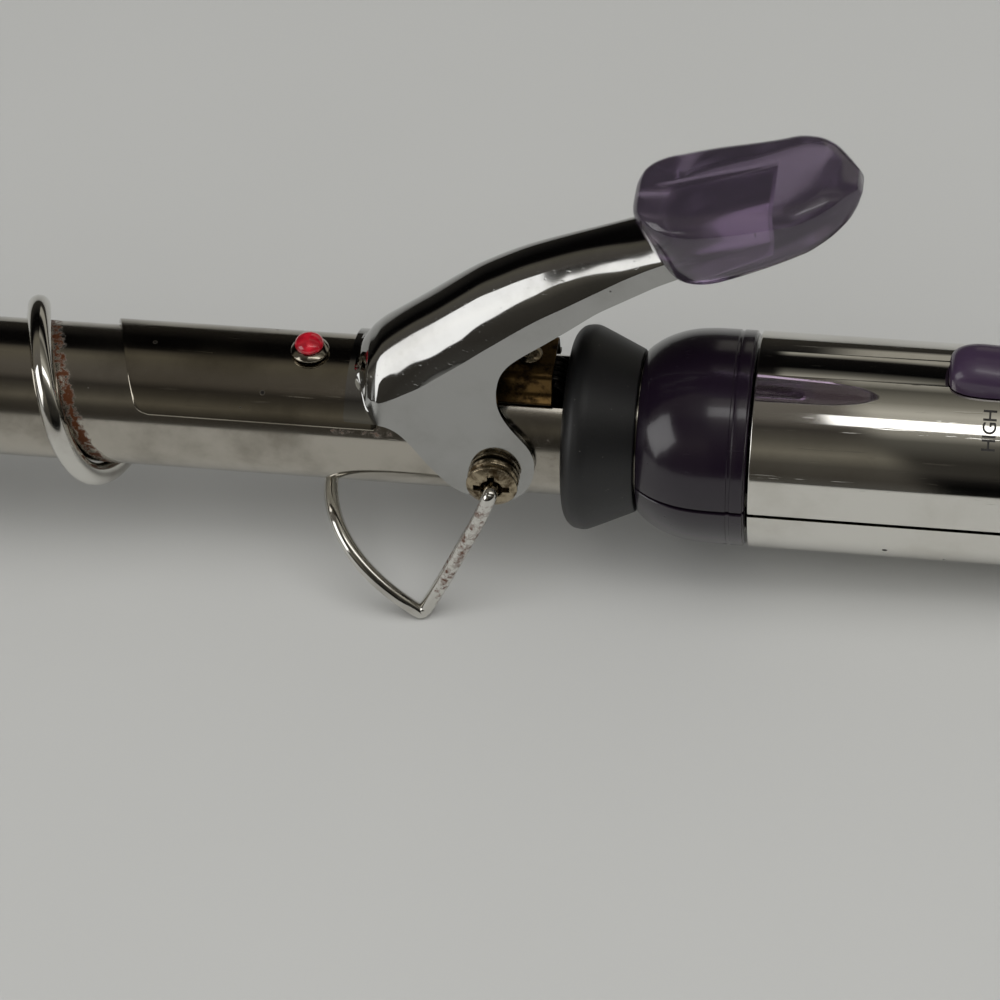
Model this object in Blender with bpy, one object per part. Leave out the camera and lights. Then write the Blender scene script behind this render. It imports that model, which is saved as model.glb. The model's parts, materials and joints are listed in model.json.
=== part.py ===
"""Spiral-wrap spring curling iron, standing on its wire stand.

The iron is built along X in its own frame, in millimetres: the clamp's pivot is the origin, the handle
lies towards +X, the barrel's tip towards -X and the thumb lever above. The empty iron_frame then pitches
it by a few degrees, so that the stand's two feet and the back of the handle rest on z = 0.
"""

import math

import bmesh
import bpy
from mathutils import Matrix, Vector

# Barrel, the 3/4 inch tube
BARREL_R = 9.525
BARREL_WALL = 0.7
BARREL_FROM, BARREL_TO = -142.0, 22.0
TIP_END = -164.0

# Guide wire wound round the barrel
WIRE_R = 1.6
WIRE_PITCH = 19.0
WIRE_TOP_X = -63.5  # where its last full turn crosses the top line
WIRE_TURNS_BACK = 3.86  # turns from there to the tip
WIRE_END_DEG = 206.0  # how far past that crossing it ends, under the barrel

# Clip and thumb lever, pressed from one gauge of steel
CLIP_R = 9.8  # inside
CLIP_T = 0.6
CLIP_HALF_DEG = 60.0
CLIP_FROM, CLIP_TO = -52.0, -16.2
SKIRT_R = 11.3  # outside of the lever's skirt over the clip
LEVER_T = 0.75
EAR_Y = 10.55  # outside of each ear
LEVER_END = 36.0

# Pivot screws and wire stand
WASHER_R, HEAD_R = 3.5, 3.5
STAND_WIRE_R = 1.05
STAND_HALF_W = 16.0
STAND_FOOT = (-10.4, -22.3)  # x, z of the wire at the feet
STAND_APEX = (-24.4, -10.95)  # x, z where its crossbar meets the underside of the barrel

# Handle
COLLAR_RIM_R = 13.95
COLLAR_NECK_R = 11.0
SLEEVE_R = 14.6
SLEEVE_WALL = 1.6
SLEEVE_FROM, SLEEVE_TO = 34.3, 131.8
CAP_TO = 148.0
GLAND_TO = 164.0
PARTING_GAP = 0.5
SWITCH_X = 59.4  # front of the knob in its HIGH place
SWITCH_TRAVEL = 10.0
SCREW_XS = (45.0, 120.0)

ROUND = 36  # sides of the large rounds

for old in list(bpy.data.objects):
    bpy.data.objects.remove(old, do_unlink=True)

iron = bpy.data.objects.new("iron_frame", None)
bpy.context.scene.collection.objects.link(iron)


def node(name, verts, faces, look, smooth=True, helper=False):
    """A closed mesh given in millimetres, with its normals turned outward."""
    mesh = bpy.data.meshes.new(name)
    shape = bmesh.new()
    points = [shape.verts.new([c * 0.001 for c in v]) for v in verts]
    for face in faces:
        shape.faces.new([points[i] for i in face])
    bmesh.ops.recalc_face_normals(shape, faces=shape.faces)
    shape.to_mesh(mesh)
    shape.free()
    mesh.shade_smooth() if smooth else mesh.shade_flat()
    obj = bpy.data.objects.new(name, mesh)
    bpy.context.scene.collection.objects.link(obj)
    obj.parent = iron
    if helper:
        obj.hide_render = True
        obj.display_type = "WIRE"
        return obj
    color, metallic, roughness = look
    material = bpy.data.materials.new(name)
    material.use_nodes = True
    shader = material.node_tree.nodes["Principled BSDF"]
    shader.inputs["Base Color"].default_value = (*color, 1)
    shader.inputs["Metallic"].default_value = metallic
    shader.inputs["Roughness"].default_value = roughness
    mesh.materials.append(material)
    return obj


CHROME = ((0.62, 0.62, 0.6), 1, 0.12)
STEEL = ((0.4, 0.4, 0.4), 1, 0.35)
DARK_STEEL = ((0.05, 0.05, 0.05), 1, 0.4)
BRASS = ((0.5, 0.35, 0.14), 1, 0.35)
NICKEL = ((0.45, 0.4, 0.32), 1, 0.25)
BLACK = ((0.012, 0.012, 0.012), 0, 0.6)
PURPLE = ((0.09, 0.03, 0.13), 0, 0.15)
RED = ((0.5, 0.01, 0.02), 0, 0.25)
CERAMIC = ((0.75, 0.73, 0.68), 0, 0.6)
MICA = ((0.35, 0.27, 0.15), 0, 0.4)
ALUMINIUM = ((0.7, 0.7, 0.7), 1, 0.4)
WHITE_SLEEVE = ((0.7, 0.68, 0.62), 0, 0.6)


def turned(name, profile, look, sides=ROUND, arc=None, axis="X", at=(0, 0, 0), **more):
    """A profile of (along, radius) turned about an axis. One that starts and ends on the axis makes a solid,
    and any other a ring; arc = (from, to) in degrees from the top, towards -Y, makes part of a ring."""
    if arc:
        angles = [math.radians(arc[0] + (arc[1] - arc[0]) * i / sides) for i in range(sides + 1)]
    else:
        angles = [2 * math.pi * i / sides for i in range(sides)]
    verts, rings = [], []
    for a, r in profile:
        if r < 1e-6:
            rings.append([len(verts)])
            verts.append(placed(a, 0, 0, axis, at))
            continue
        rings.append([len(verts) + i for i in range(len(angles))])
        verts += [placed(a, -r * math.sin(t), r * math.cos(t), axis, at) for t in angles]
    on_axis = len(rings[0]) == 1
    pairs = list(zip(rings, rings[1:])) + ([] if on_axis else [(rings[-1], rings[0])])
    faces = []
    for one, two in pairs:
        steps = max(len(one), len(two))
        for i in range(steps - 1 if arc else steps):
            j = (i + 1) % steps
            face = [one[i % len(one)], one[j % len(one)], two[j % len(two)], two[i % len(two)]]
            faces.append([v for k, v in enumerate(face) if v not in face[:k]])
    if arc:
        faces += [[ring[0] for ring in rings], [ring[-1] for ring in rings]]
    return node(name, verts, faces, look, **more)


def placed(a, b, c, axis, at):
    """A point given along and across a turning axis."""
    p = {"X": (a, b, c), "Y": (b, a, c), "Z": (b, c, a)}[axis]
    return [p[i] + at[i] for i in range(3)]


def swept(name, path, radius, look, sides=8, **more):
    """A round wire along a path, its two ends closed. The radius may be a list, one per point."""
    path = [Vector(p) for p in path]
    radii = radius if isinstance(radius, list) else [radius] * len(path)
    tangents = []
    for i in range(len(path)):
        tangents.append((path[min(i + 1, len(path) - 1)] - path[max(i - 1, 0)]).normalized())
    across = tangents[0].orthogonal().normalized()
    verts, faces = [], []
    for i, p in enumerate(path):
        across = (across - tangents[i] * across.dot(tangents[i])).normalized()
        other = tangents[i].cross(across)
        for k in range(sides):
            turn = 2 * math.pi * k / sides
            verts.append(p + radii[i] * (math.cos(turn) * across + math.sin(turn) * other))
    for i in range(len(path) - 1):
        for k in range(sides):
            a, b = i * sides + k, i * sides + (k + 1) % sides
            faces.append([a, b, b + sides, a + sides])
    faces += [list(range(sides)), list(range(len(verts) - sides, len(verts)))]
    return node(name, verts, faces, look, **more)


def block(name, low, high, look=None, **more):
    verts = [(x, y, z) for x in (low[0], high[0]) for y in (low[1], high[1]) for z in (low[2], high[2])]
    faces = [[0, 1, 3, 2], [4, 6, 7, 5], [0, 4, 5, 1], [2, 3, 7, 6], [0, 2, 6, 4], [1, 5, 7, 3]]
    return node(name, verts, faces, look, smooth=False, **more)


def plate(name, outline, low, high, look=None, **more):
    """An outline in X and Z given a thickness along Y."""
    n = len(outline)
    verts = [(x, y, z) for y in (low, high) for x, z in outline]
    faces = [list(range(n)), list(range(n, 2 * n))]
    faces += [[i, (i + 1) % n, (i + 1) % n + n, i + n] for i in range(n)]
    return node(name, verts, faces, look, smooth=False, **more)


def trimmed(obj, other, how="DIFFERENCE"):
    step = obj.modifiers.new(how.lower(), "BOOLEAN")
    step.operation = how
    step.solver = "EXACT"
    step.object = other
    return obj


def between(table, x):
    """The value of a table of (x, value) at x."""
    if x <= table[0][0]:
        return table[0][1]
    for (x0, v0), (x1, v1) in zip(table, table[1:]):
        if x <= x1:
            return v0 + (v1 - v0) * (x - x0) / (x1 - x0)
    return table[-1][1]


def arc_points(middle, radius, start, end, steps):
    """Points (along, radius) on a circle, the angles in degrees."""
    turns = [math.radians(start + (end - start) * i / steps) for i in range(steps + 1)]
    return [(middle[0] + radius * math.cos(t), middle[1] + radius * math.sin(t)) for t in turns]


def build_barrel():
    inside = BARREL_R - BARREL_WALL
    barrel = turned(
        "barrel_tube",
        [(BARREL_FROM, BARREL_R), (BARREL_TO, BARREL_R), (BARREL_TO, inside), (BARREL_FROM, inside)],
        CHROME,
    )
    # The window that lets the clamp spring sit in the tube, then the two pivot holes
    trimmed(barrel, block("window_cutter", (1.0, -5.1, 3), (9.9, 5.1, 12), helper=True))
    trimmed(
        barrel,
        turned("pivot_hole_cutter", [(-12, 0), (-12, 2.0), (12, 2.0), (12, 0)], None, 16, axis="Y", helper=True),
    )
    turned(
        "cool_tip",
        [(BARREL_FROM + 8, 0), (BARREL_FROM + 8, 8.3), (BARREL_FROM - 0.35, 8.3), (BARREL_FROM - 0.35, 9.9)]
        + [(BARREL_FROM - 3, 10.1), (-157.5, 9.5)]
        + arc_points((-160.5, 6.0), 3.5, 90, 180, 4)
        + [(TIP_END, 0)],
        BLACK,
        28,
    )
    step = math.radians(20)
    start = -2 * math.pi * WIRE_TURNS_BACK
    end = math.radians(WIRE_END_DEG)
    count = round((end - start) / step)
    centre = BARREL_R + WIRE_R + 0.18
    path = []
    for i in range(count + 1):
        turn = start + (end - start) * i / count
        x = WIRE_TOP_X + WIRE_PITCH * turn / (2 * math.pi)
        path.append((x, -centre * math.sin(turn), centre * math.cos(turn)))
    radii = [WIRE_R] * len(path)
    radii[0] = radii[-1] = WIRE_R * 0.72
    swept("spiral_guide", path, radii, CHROME)
    turned("heater_core", [(-132, 0), (-132, 4.6), (-20, 4.6), (-20, 0)], CERAMIC, 16)
    turned("mica_wrap", [(-131, 5.0), (-22, 5.0), (-22, 5.5), (-131, 5.5)], MICA, 20)
    turned("heat_spreader", [(-130, 5.9), (-24, 5.9), (-24, 8.4), (-130, 8.4)], ALUMINIUM, 28, arc=(8, 352))


def build_clip():
    """The spoon, its free end cut along the slant of the guide wire."""
    rows, columns = 15, 10
    outer = CLIP_R + CLIP_T
    verts = []
    for radius in (CLIP_R, outer):
        for i in range(rows):
            share = -1 + 2 * i / (rows - 1)
            turn = math.radians(CLIP_HALF_DEG) * share
            # The corners of the free end are rounded off
            lost = 1.6 * max(0, (abs(share) - 0.84) / 0.16) ** 2
            x0 = CLIP_FROM + WIRE_PITCH * turn / (2 * math.pi) + lost
            for j in range(columns):
                x = x0 + (CLIP_TO - x0) * j / (columns - 1)
                verts.append((x, -radius * math.sin(turn), radius * math.cos(turn)))
    grid = rows * columns

    def at(side, i, j):
        return side * grid + i * columns + j

    faces = []
    for i in range(rows - 1):
        for j in range(columns - 1):
            for side in (0, 1):
                faces.append([at(side, i, j), at(side, i, j + 1), at(side, i + 1, j + 1), at(side, i + 1, j)])
    for j in range(columns - 1):
        for i in (0, rows - 1):
            faces.append([at(0, i, j), at(0, i, j + 1), at(1, i, j + 1), at(1, i, j)])
    for i in range(rows - 1):
        for j in (0, columns - 1):
            faces.append([at(0, i, j), at(0, i + 1, j), at(1, i + 1, j), at(1, i, j)])
    node("clip_spoon", verts, faces, CHROME)
    rivet_x = -26.1
    turned(
        "dot_rivet",
        [(10.62, 0), (10.62, 2.45), (10.95, 2.7), (11.3, 2.55), (11.55, 2.1), (11.55, 0)],
        CHROME,
        18,
        axis="Z",
        at=(rivet_x, 0, 0),
    )
    turned(
        "heat_dot",
        [(11.65, 0), (11.65, 1.9), (12.1, 1.95), (12.7, 1.6), (13.1, 0.9), (13.25, 0)],
        RED,
        16,
        axis="Z",
        at=(rivet_x, 0, 0),
    )


CROWN = [(-20.3, 13.0), (-19.1, 13.2), (-18, 14.0), (-16, 16.0), (-10, 21.0), (-3, 26.5), (0, 28.35), (3, 30.0)]
CROWN += [(6, 31.4), (10, 33.1), (14, 34.6), (18, 36.0), (22, 37.6), (27, 39.9), (36, 44.0)]
RIDGE_Z = [(-20.3, 10.5), (-19.1, 10.35), (-18.6, 10.0), (-18, 9.75), (-17.2, 9.6), (-16, 9.6), (-14, 10.2)]
RIDGE_Z += [(-12, 11.4), (-10, 12.7), (-6, 16.0), (0, 21.0), (6, 25.4), (10, 27.7), (14, 30.15), (18, 32.7)]
RIDGE_Z += [(22, 34.9), (36, 41.5)]
RIDGE_Y = [(-20.3, 4.2), (-18.6, 4.9), (-18, 6.0), (-17.3, 7.0), (-16.4, 7.6), (-15.4, 8), (-4, 8), (0, 7.8)]
RIDGE_Y += [(6, 7.1), (10, 6.5), (14, 6.0), (18, 5.7), (22, 5.5)]
RIDGE_POWER = [(-12, 2.2), (6, 2.4), (22, 3.2)]  # how square the ridge's section is
RISEN = [(-19.5, 0), (-19.1, 0.45), (-18.6, 0.8), (-17.6, 1)]
SKIRT_FOOT = [(-17, 5.0), (-14, 4.0), (-12, 2.5), (-8, -3), (-5, -6), (5.6, -6), (6.2, 18.5), (10, 21.5), (14, 24.2)]
SKIRT_FOOT += [(18, 26.8), (22, 29.4), (36, 36.6)]
EAR_Z = [(-16, 3.4), (-10, 1.5)]  # where the flank has widened to the ear
HUG_R = [(-16, 11.3), (-13, 10.65)]  # the least radius of the flank round the clip, then round the barrel


def lever_section(x, inset):
    """Half of the lever's section at x, from its crown out and down, moved in by the sheet's thickness."""
    half, crown, risen = between(RIDGE_Y, x), between(CROWN, x), between(RISEN, x)
    base, power = between(RIDGE_Z, x), between(RIDGE_POWER, x)
    skirt = SKIRT_R - inset
    points = []
    steps = 7
    for i in range(steps + 1):
        share = math.sin(math.pi / 2 * i / steps)
        ridge_y = (half - inset) * share
        ridge_z = base + (crown - inset - base) * (1 - share**power)
        turn = math.asin(half / SKIRT_R) * i / steps
        points.append(
            (
                risen * ridge_y + (1 - risen) * skirt * math.sin(turn),
                risen * ridge_z + (1 - risen) * skirt * math.cos(turn),
            )
        )
    foot = between(SKIRT_FOOT, x)
    start = points[-1]
    hug_r = between(HUG_R, x) - inset
    slope = (EAR_Y - half) / (base - between(EAR_Z, x)) if x < 7 else 0.12
    for k in range(1, 8):
        z = start[1] + (foot - start[1]) * k / 7
        y = min(half + slope * (base - z), EAR_Y) - inset
        if x < 2 and abs(z) < hug_r:
            y = max(y, min(math.sqrt(hug_r**2 - z**2), EAR_Y - inset))
        points.append((y, z))
    return points


def build_lever():
    stations = [-20.3, -19.5, -19.1, -18.6, -18, -17.2, -16, -14, -12, -10, -8, -6, -4, -2, 0, 2, 4, 6]
    stations = stations[:-1] + [5.6, 6.2, 8, 10, 12, 14, 16, 18, 20, 22, 27, 32, LEVER_END + 1]
    verts = []
    for inset in (0, LEVER_T):
        for x in stations:
            half = lever_section(x, inset)
            verts += [(x, y, z) for y, z in reversed(half[1:])]
            verts += [(x, -y, z) for y, z in half]
    across = 2 * len(lever_section(0, 0)) - 1
    grid = across * len(stations)

    def at(side, i, j):
        return side * grid + i * across + j

    faces = []
    for i in range(len(stations) - 1):
        for j in range(across - 1):
            for side in (0, 1):
                faces.append([at(side, i, j), at(side, i, j + 1), at(side, i + 1, j + 1), at(side, i + 1, j)])
        for j in (0, across - 1):
            faces.append([at(0, i, j), at(0, i + 1, j), at(1, i + 1, j), at(1, i, j)])
    for j in range(across - 1):
        for i in (0, len(stations) - 1):
            faces.append([at(0, i, j), at(0, i, j + 1), at(1, i, j + 1), at(1, i, j)])
    lever = node("thumb_lever", verts, faces, CHROME)
    # The side outline: skirt over the clip, ear round the pivot, notch over the spring, then the lever's edge
    outline = [(-20.3, 60), (-20.3, 6.7), (-17.5, 6.6), (-16, 6.6), (-14.5, 6.4), (-12.9, 5.7), (-11.4, 4.3)]
    outline += [(-9.4, 1.8), (-7.6, -0.7), (-5.9, -2.7), (-5.2, -3.3), (-3.2, -4.2), (-1.4, -4.8), (0.6, -4.9)]
    outline += [(2.6, -4.3), (4.1, -2.9), (5.1, -0.8), (5.55, 1.4), (5.5, 3.2), (4.8, 5.0), (3.5, 6.6), (2.1, 8.4)]
    outline += [(1.1, 10.2), (0.6, 12.0), (0.6, 14.2), (1.1, 16.4), (2.2, 18.1), (3.8, 19.5), (5.6, 20.8)]
    outline += [(7.7, 22.2), (10, 23.8), (14, 26.9), (18, 29.4), (22, 31.9), (LEVER_END - 0.9, 39.0)]
    outline += [(LEVER_END, 40.1), (LEVER_END, 60)]
    trimmed(lever, plate("lever_outline_cutter", outline, -30, 30, helper=True), "INTERSECT")
    trimmed(
        lever,
        turned("ear_hole_cutter", [(-15, 0), (-15, 2.15), (15, 2.15), (15, 0)], None, 16, axis="Y", helper=True),
    )


def build_thumb_rest():
    """A moulded cap pushed over the lever's end, made of sections square to the lever's slope."""
    slope = math.radians(27)
    ways = ((math.cos(slope), math.sin(slope)), (-math.sin(slope), math.cos(slope)))
    origin = (21.0, 37.5)
    # Half the width, the top and the underside, by the distance along the slope
    half_at = [(-1, 2.2), (-0.7, 3.5), (0, 5.0), (1, 6.3), (2.5, 7.5), (4.5, 8.3), (7, 8.8), (10, 8.9), (19, 8.85)]
    half_at += [(22, 7.85), (24.5, 5.85), (26, 3.6), (27, 1.9)]
    high_at = [(-1, 4.3), (-0.1, 5.5), (1, 6.05), (3, 5.5), (5.3, 4.6), (10, 3.4), (17.3, 1.55), (21, 1.0)]
    high_at += [(23.6, 0.45), (25.4, -0.65), (26.3, -2.0), (27, -3.0)]
    low_at = [(-1, -4.6), (-0.1, -6.2), (1, -6.9), (6, -7.5), (13, -7.3), (21.3, -6.5), (24.8, -6.0), (26, -5.5)]
    low_at += [(27, -4.6)]
    squareness = 4.2
    sides = 24
    verts = []
    stations = (-1, -0.7, 0, 1, 2.5, 4.5, 7, 10, 13, 17, 19, 22, 24.5, 26, 27)
    for s in stations:
        half, low, high = between(half_at, s), between(low_at, s), between(high_at, s)
        for k in range(sides):
            turn = 2 * math.pi * (k + 0.5) / sides
            c, d = math.cos(turn), math.sin(turn)
            y = half * math.copysign(abs(c) ** (2 / squareness), c)
            t = (low + high) / 2 + (high - low) / 2 * math.copysign(abs(d) ** (2 / squareness), d)
            x = origin[0] + s * ways[0][0] + t * ways[1][0]
            z = origin[1] + s * ways[0][1] + t * ways[1][1]
            verts.append((x, y, z))
    faces = []
    for i in range(len(stations) - 1):
        for k in range(sides):
            a, b = i * sides + k, i * sides + (k + 1) % sides
            faces.append([a, b, b + sides, a + sides])
    faces += [list(range(sides)), list(range(len(verts) - sides, len(verts)))]
    cap = node("thumb_rest", verts, faces, PURPLE)
    pocket = []
    for x in (17.0, 22.0, 27.0, LEVER_END + 0.6):
        crown, foot = between(CROWN, x) + 0.35, between([(10, 23.8), (22, 31.9), (36, 39.6)], x) - 0.35
        half = between(RIDGE_Y, x)
        shape = [(half + 0.75, foot), (half + 0.4, crown - 2.5), (half - 2.0, crown), (2.0 - half, crown)]
        shape += [(-half - 0.4, crown - 2.5), (-half - 0.75, foot)]
        pocket += [(x, y, z) for y, z in shape]
    n = 6
    faces = [list(range(n)), list(range(3 * n, 4 * n))]
    for i in range(3):
        faces += [[i * n + k, i * n + (k + 1) % n, (i + 1) * n + (k + 1) % n, (i + 1) * n + k] for k in range(n)]
    trimmed(cap, node("pocket_cutter", pocket, faces, None, smooth=False, helper=True))


def build_pivot_and_stand():
    for side, name in ((-1, "near"), (1, "far")):
        washer = [(EAR_Y + 0.12, 1.95), (EAR_Y + 0.12, WASHER_R - 0.15), (EAR_Y + 0.45, WASHER_R)]
        washer += [(EAR_Y + 0.85, WASHER_R - 0.1), (EAR_Y + 1.2, WASHER_R - 0.45), (EAR_Y + 1.36, WASHER_R - 0.9)]
        washer += [(EAR_Y + 1.36, 1.95)]
        turned("pivot_washer_" + name, [(side * a, r) for a, r in washer], NICKEL, 20, axis="Y")
        face = EAR_Y + 1.5
        screw = [(6.2, 0), (6.2, 1.65), (face, 1.65), (face, HEAD_R - 0.5), (face + 0.2, HEAD_R - 0.1)]
        screw += [(face + 0.45, HEAD_R), (face + 0.75, 3.2), (face + 0.98, 2.6), (face + 1.08, 2.0)]
        screw += [(face + 1.1, 1.5), (face - 0.9, 1.5), (face - 0.9, 0)]
        screw = turned("pivot_screw_" + name, [(side * a, r) for a, r in screw], NICKEL, 20, axis="Y")
        for turn in (0, 1):
            long, wide = (2.45, 0.5) if turn else (0.5, 2.45)
            low, high = sorted((side * (face + 0.35), side * (face + 3)))
            cutter = block(f"recess_cutter_{name}_{turn}", (-long, low, -wide), (long, high, wide), helper=True)
            trimmed(screw, cutter)
        turned(
            "pivot_nut_" + name,
            [(side * 5.6, 2.2), (side * 5.6, 3.7), (side * 7.9, 3.7), (side * 7.9, 2.2)],
            STEEL,
            6,
            axis="Y",
            smooth=False,
        )
    # Half of the stand: out of the screw, down the leg, round the foot and along half of the crossbar
    first = EAR_Y + 1.5 - 0.55
    half = [(0, -first, 0), (0, -13.6, 0), (-0.07, -14.15, -0.2), (-0.28, -14.47, -0.75), (-1.1, -14.55, -3.1)]
    half += [(-2.3, -14.6, -6.1), (-2.9, -14.65, -7.4), (-6.4, -15.1, -15.2), (-9.2, -15.5, -21.0)]
    half += [(-9.75, -15.65, -21.95), (-10.5, -15.8, -22.35)]
    reach = (STAND_APEX[0] - STAND_FOOT[0], STAND_APEX[1] - STAND_FOOT[1])
    for i in range(1, 15):
        u = math.pi / 2 * i / 14
        y = STAND_HALF_W * math.cos(u) ** (2 / 2.3) if i < 14 else 0.0
        s = math.sin(u) ** (2 / 2.3)
        half.append((STAND_FOOT[0] + reach[0] * s, -y, STAND_FOOT[1] + reach[1] * s))
    whole = half + [(x, -y, z) for x, y, z in reversed(half[:-1])]
    swept("wire_stand", whole, STAND_WIRE_R, CHROME, 10)


def build_spring():
    # Strap bracket: a flat top, two upright sides and two feet that hug the barrel
    outer = [(-5.3, 8.25), (-3.95, 9.0), (-3.5, 12.0), (3.5, 12.0), (3.95, 9.0), (5.3, 8.25)]
    inner = [(5.7, 8.9), (4.5, 9.6), (4.1, 12.7), (-4.1, 12.7), (-4.5, 9.6), (-5.7, 8.9)]
    # moved clear of the tube it stands on
    outline = [(y, z + 0.25) for y, z in outer + inner]
    verts = [(x, y, z) for x in (-1.2, 7.4) for y, z in outline]
    n = len(outline)
    faces = [list(range(n)), list(range(n, 2 * n))]
    faces += [[i, (i + 1) % n, (i + 1) % n + n, i + n] for i in range(n)]
    node("spring_bracket", verts, faces, BRASS, smooth=False)
    turned(
        "bracket_rivet",
        [(13.05, 0), (13.05, 1.7), (13.35, 1.75), (13.8, 1.35), (14.05, 0.7), (14.1, 0)],
        NICKEL,
        14,
        axis="Z",
        at=(4.0, -0.4, 0),
    )
    turns, per = 6, 10
    middle, radius, wire, half_long = (6.95, 8.8), 1.65, 0.42, 2.9
    path = [(2.8, -3.0, 5.6), (4.8, -3.0, 6.4)]
    for i in range(turns * per + 1):
        turn = -math.pi / 2 - 2 * math.pi * i / per
        y = -half_long + 2 * half_long * i / (turns * per)
        path.append((middle[0] + radius * math.cos(turn), y, middle[1] + radius * math.sin(turn)))
    path += [(4.6, 3.05, 6.5), (2.6, 3.1, 6.0)]
    swept("clamp_spring", path, wire, DARK_STEEL, 6)


def build_collars():
    turned(
        "heat_guard",
        [(9.0, 9.85), (9.0, 11.3), (9.2, 12.3), (9.6, 13.0), (10.3, 13.6), (11.2, COLLAR_RIM_R - 0.05)]
        + [(12.0, COLLAR_RIM_R), (12.8, 13.8), (13.7, 13.3), (18.3, 11.2), (18.7, COLLAR_NECK_R), (18.7, 9.85)],
        BLACK,
        ROUND,
    )
    gap = math.degrees(PARTING_GAP / 2 / SLEEVE_R)
    front = [(19.0, 10.95), (19.7, 11.65), (20.7, 12.4), (22.0, 13.15), (23.9, 13.9), (25.6, 14.3), (28, 14.55)]
    front += [(33.0, SLEEVE_R - 0.02), (33.05, 14.2), (33.9, 14.2), (33.9, 12.2), (24.5, 12.2), (23.5, 9.9)]
    front += [(19.0, 9.9)]
    sleeve = [(SLEEVE_FROM, SLEEVE_R), (SLEEVE_TO, SLEEVE_R), (SLEEVE_TO, SLEEVE_R - SLEEVE_WALL)]
    sleeve += [(SLEEVE_FROM, SLEEVE_R - SLEEVE_WALL)]
    halves = (("upper", -90 + gap, 90 - gap), ("lower", 90 + gap, 270 - gap))
    for name, low, high in halves:
        turned("front_collar_" + name, front, PURPLE, 20, arc=(low, high))
        shell = turned("handle_" + name, sleeve, CHROME, 24, arc=(low, high))
        if name == "upper":
            slot = block("switch_slot_cutter", (SWITCH_X + 3.5, -2.4, 9), (SWITCH_X + 20.2, 2.4, 20), helper=True)
            trimmed(shell, slot)
        for i, x in enumerate(SCREW_XS):
            if name == "upper":
                boss = [(-2.2, 0), (-2.2, 3.0), (13.8, 3.0), (13.8, 0)]
                hole = [(-6, 0), (-6, 1.25), (7, 1.25), (7, 0)]
            else:
                boss = [(-13.8, 0), (-13.8, 3.9), (-2.6, 3.9), (-2.6, 0)]
                hole = [(-18, 0), (-18, 2.9), (-7.4, 2.9), (-7.4, 1.45), (0, 1.45), (0, 0)]
            for cutter, profile, how in (("boss", boss, "UNION"), ("hole", hole, "DIFFERENCE")):
                named = f"{name}_{cutter}_{i}"
                at = (x + 0.02, 0.03, 0)
                sides = 12 if cutter == "hole" else 15
                made = turned(named, profile, None, sides, axis="Z", at=at, helper=True)
                trimmed(shell, made, how)
    for i, x in enumerate(SCREW_XS):
        shank = [(-9.6, 0), (-9.6, 2.4), (-7.9, 2.4), (-7.6, 1.0), (4.5, 1.0), (5.4, 0)]
        screw = turned(f"handle_screw_{i + 1}", shank, STEEL, 12, axis="Z", at=(x, 0, 0))
        for turn in (0, 1):
            long, wide = (1.6, 0.35) if turn else (0.35, 1.6)
            cutter = block(f"drive_cutter_{i}_{turn}", (x - long, -wide, -12), (x + long, wide, -8.9), helper=True)
            trimmed(screw, cutter)
    turned(
        "rear_cap",
        [(SLEEVE_TO + 0.4, 14.2), (SLEEVE_TO + 1.1, 14.2), (SLEEVE_TO + 1.2, SLEEVE_R), (CAP_TO - 4.5, SLEEVE_R)]
        + arc_points((CAP_TO - 4.5, SLEEVE_R - 4.5), 4.5, 90, 0, 5)[1:]
        + [(CAP_TO, 7.0), (CAP_TO - 2.4, 7.0), (CAP_TO - 2.4, 9.4), (CAP_TO - 6.4, 9.4), (CAP_TO - 6.4, 12.4)]
        + [(SLEEVE_TO + 0.4, 12.4)],
        PURPLE,
        ROUND,
    )


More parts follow.
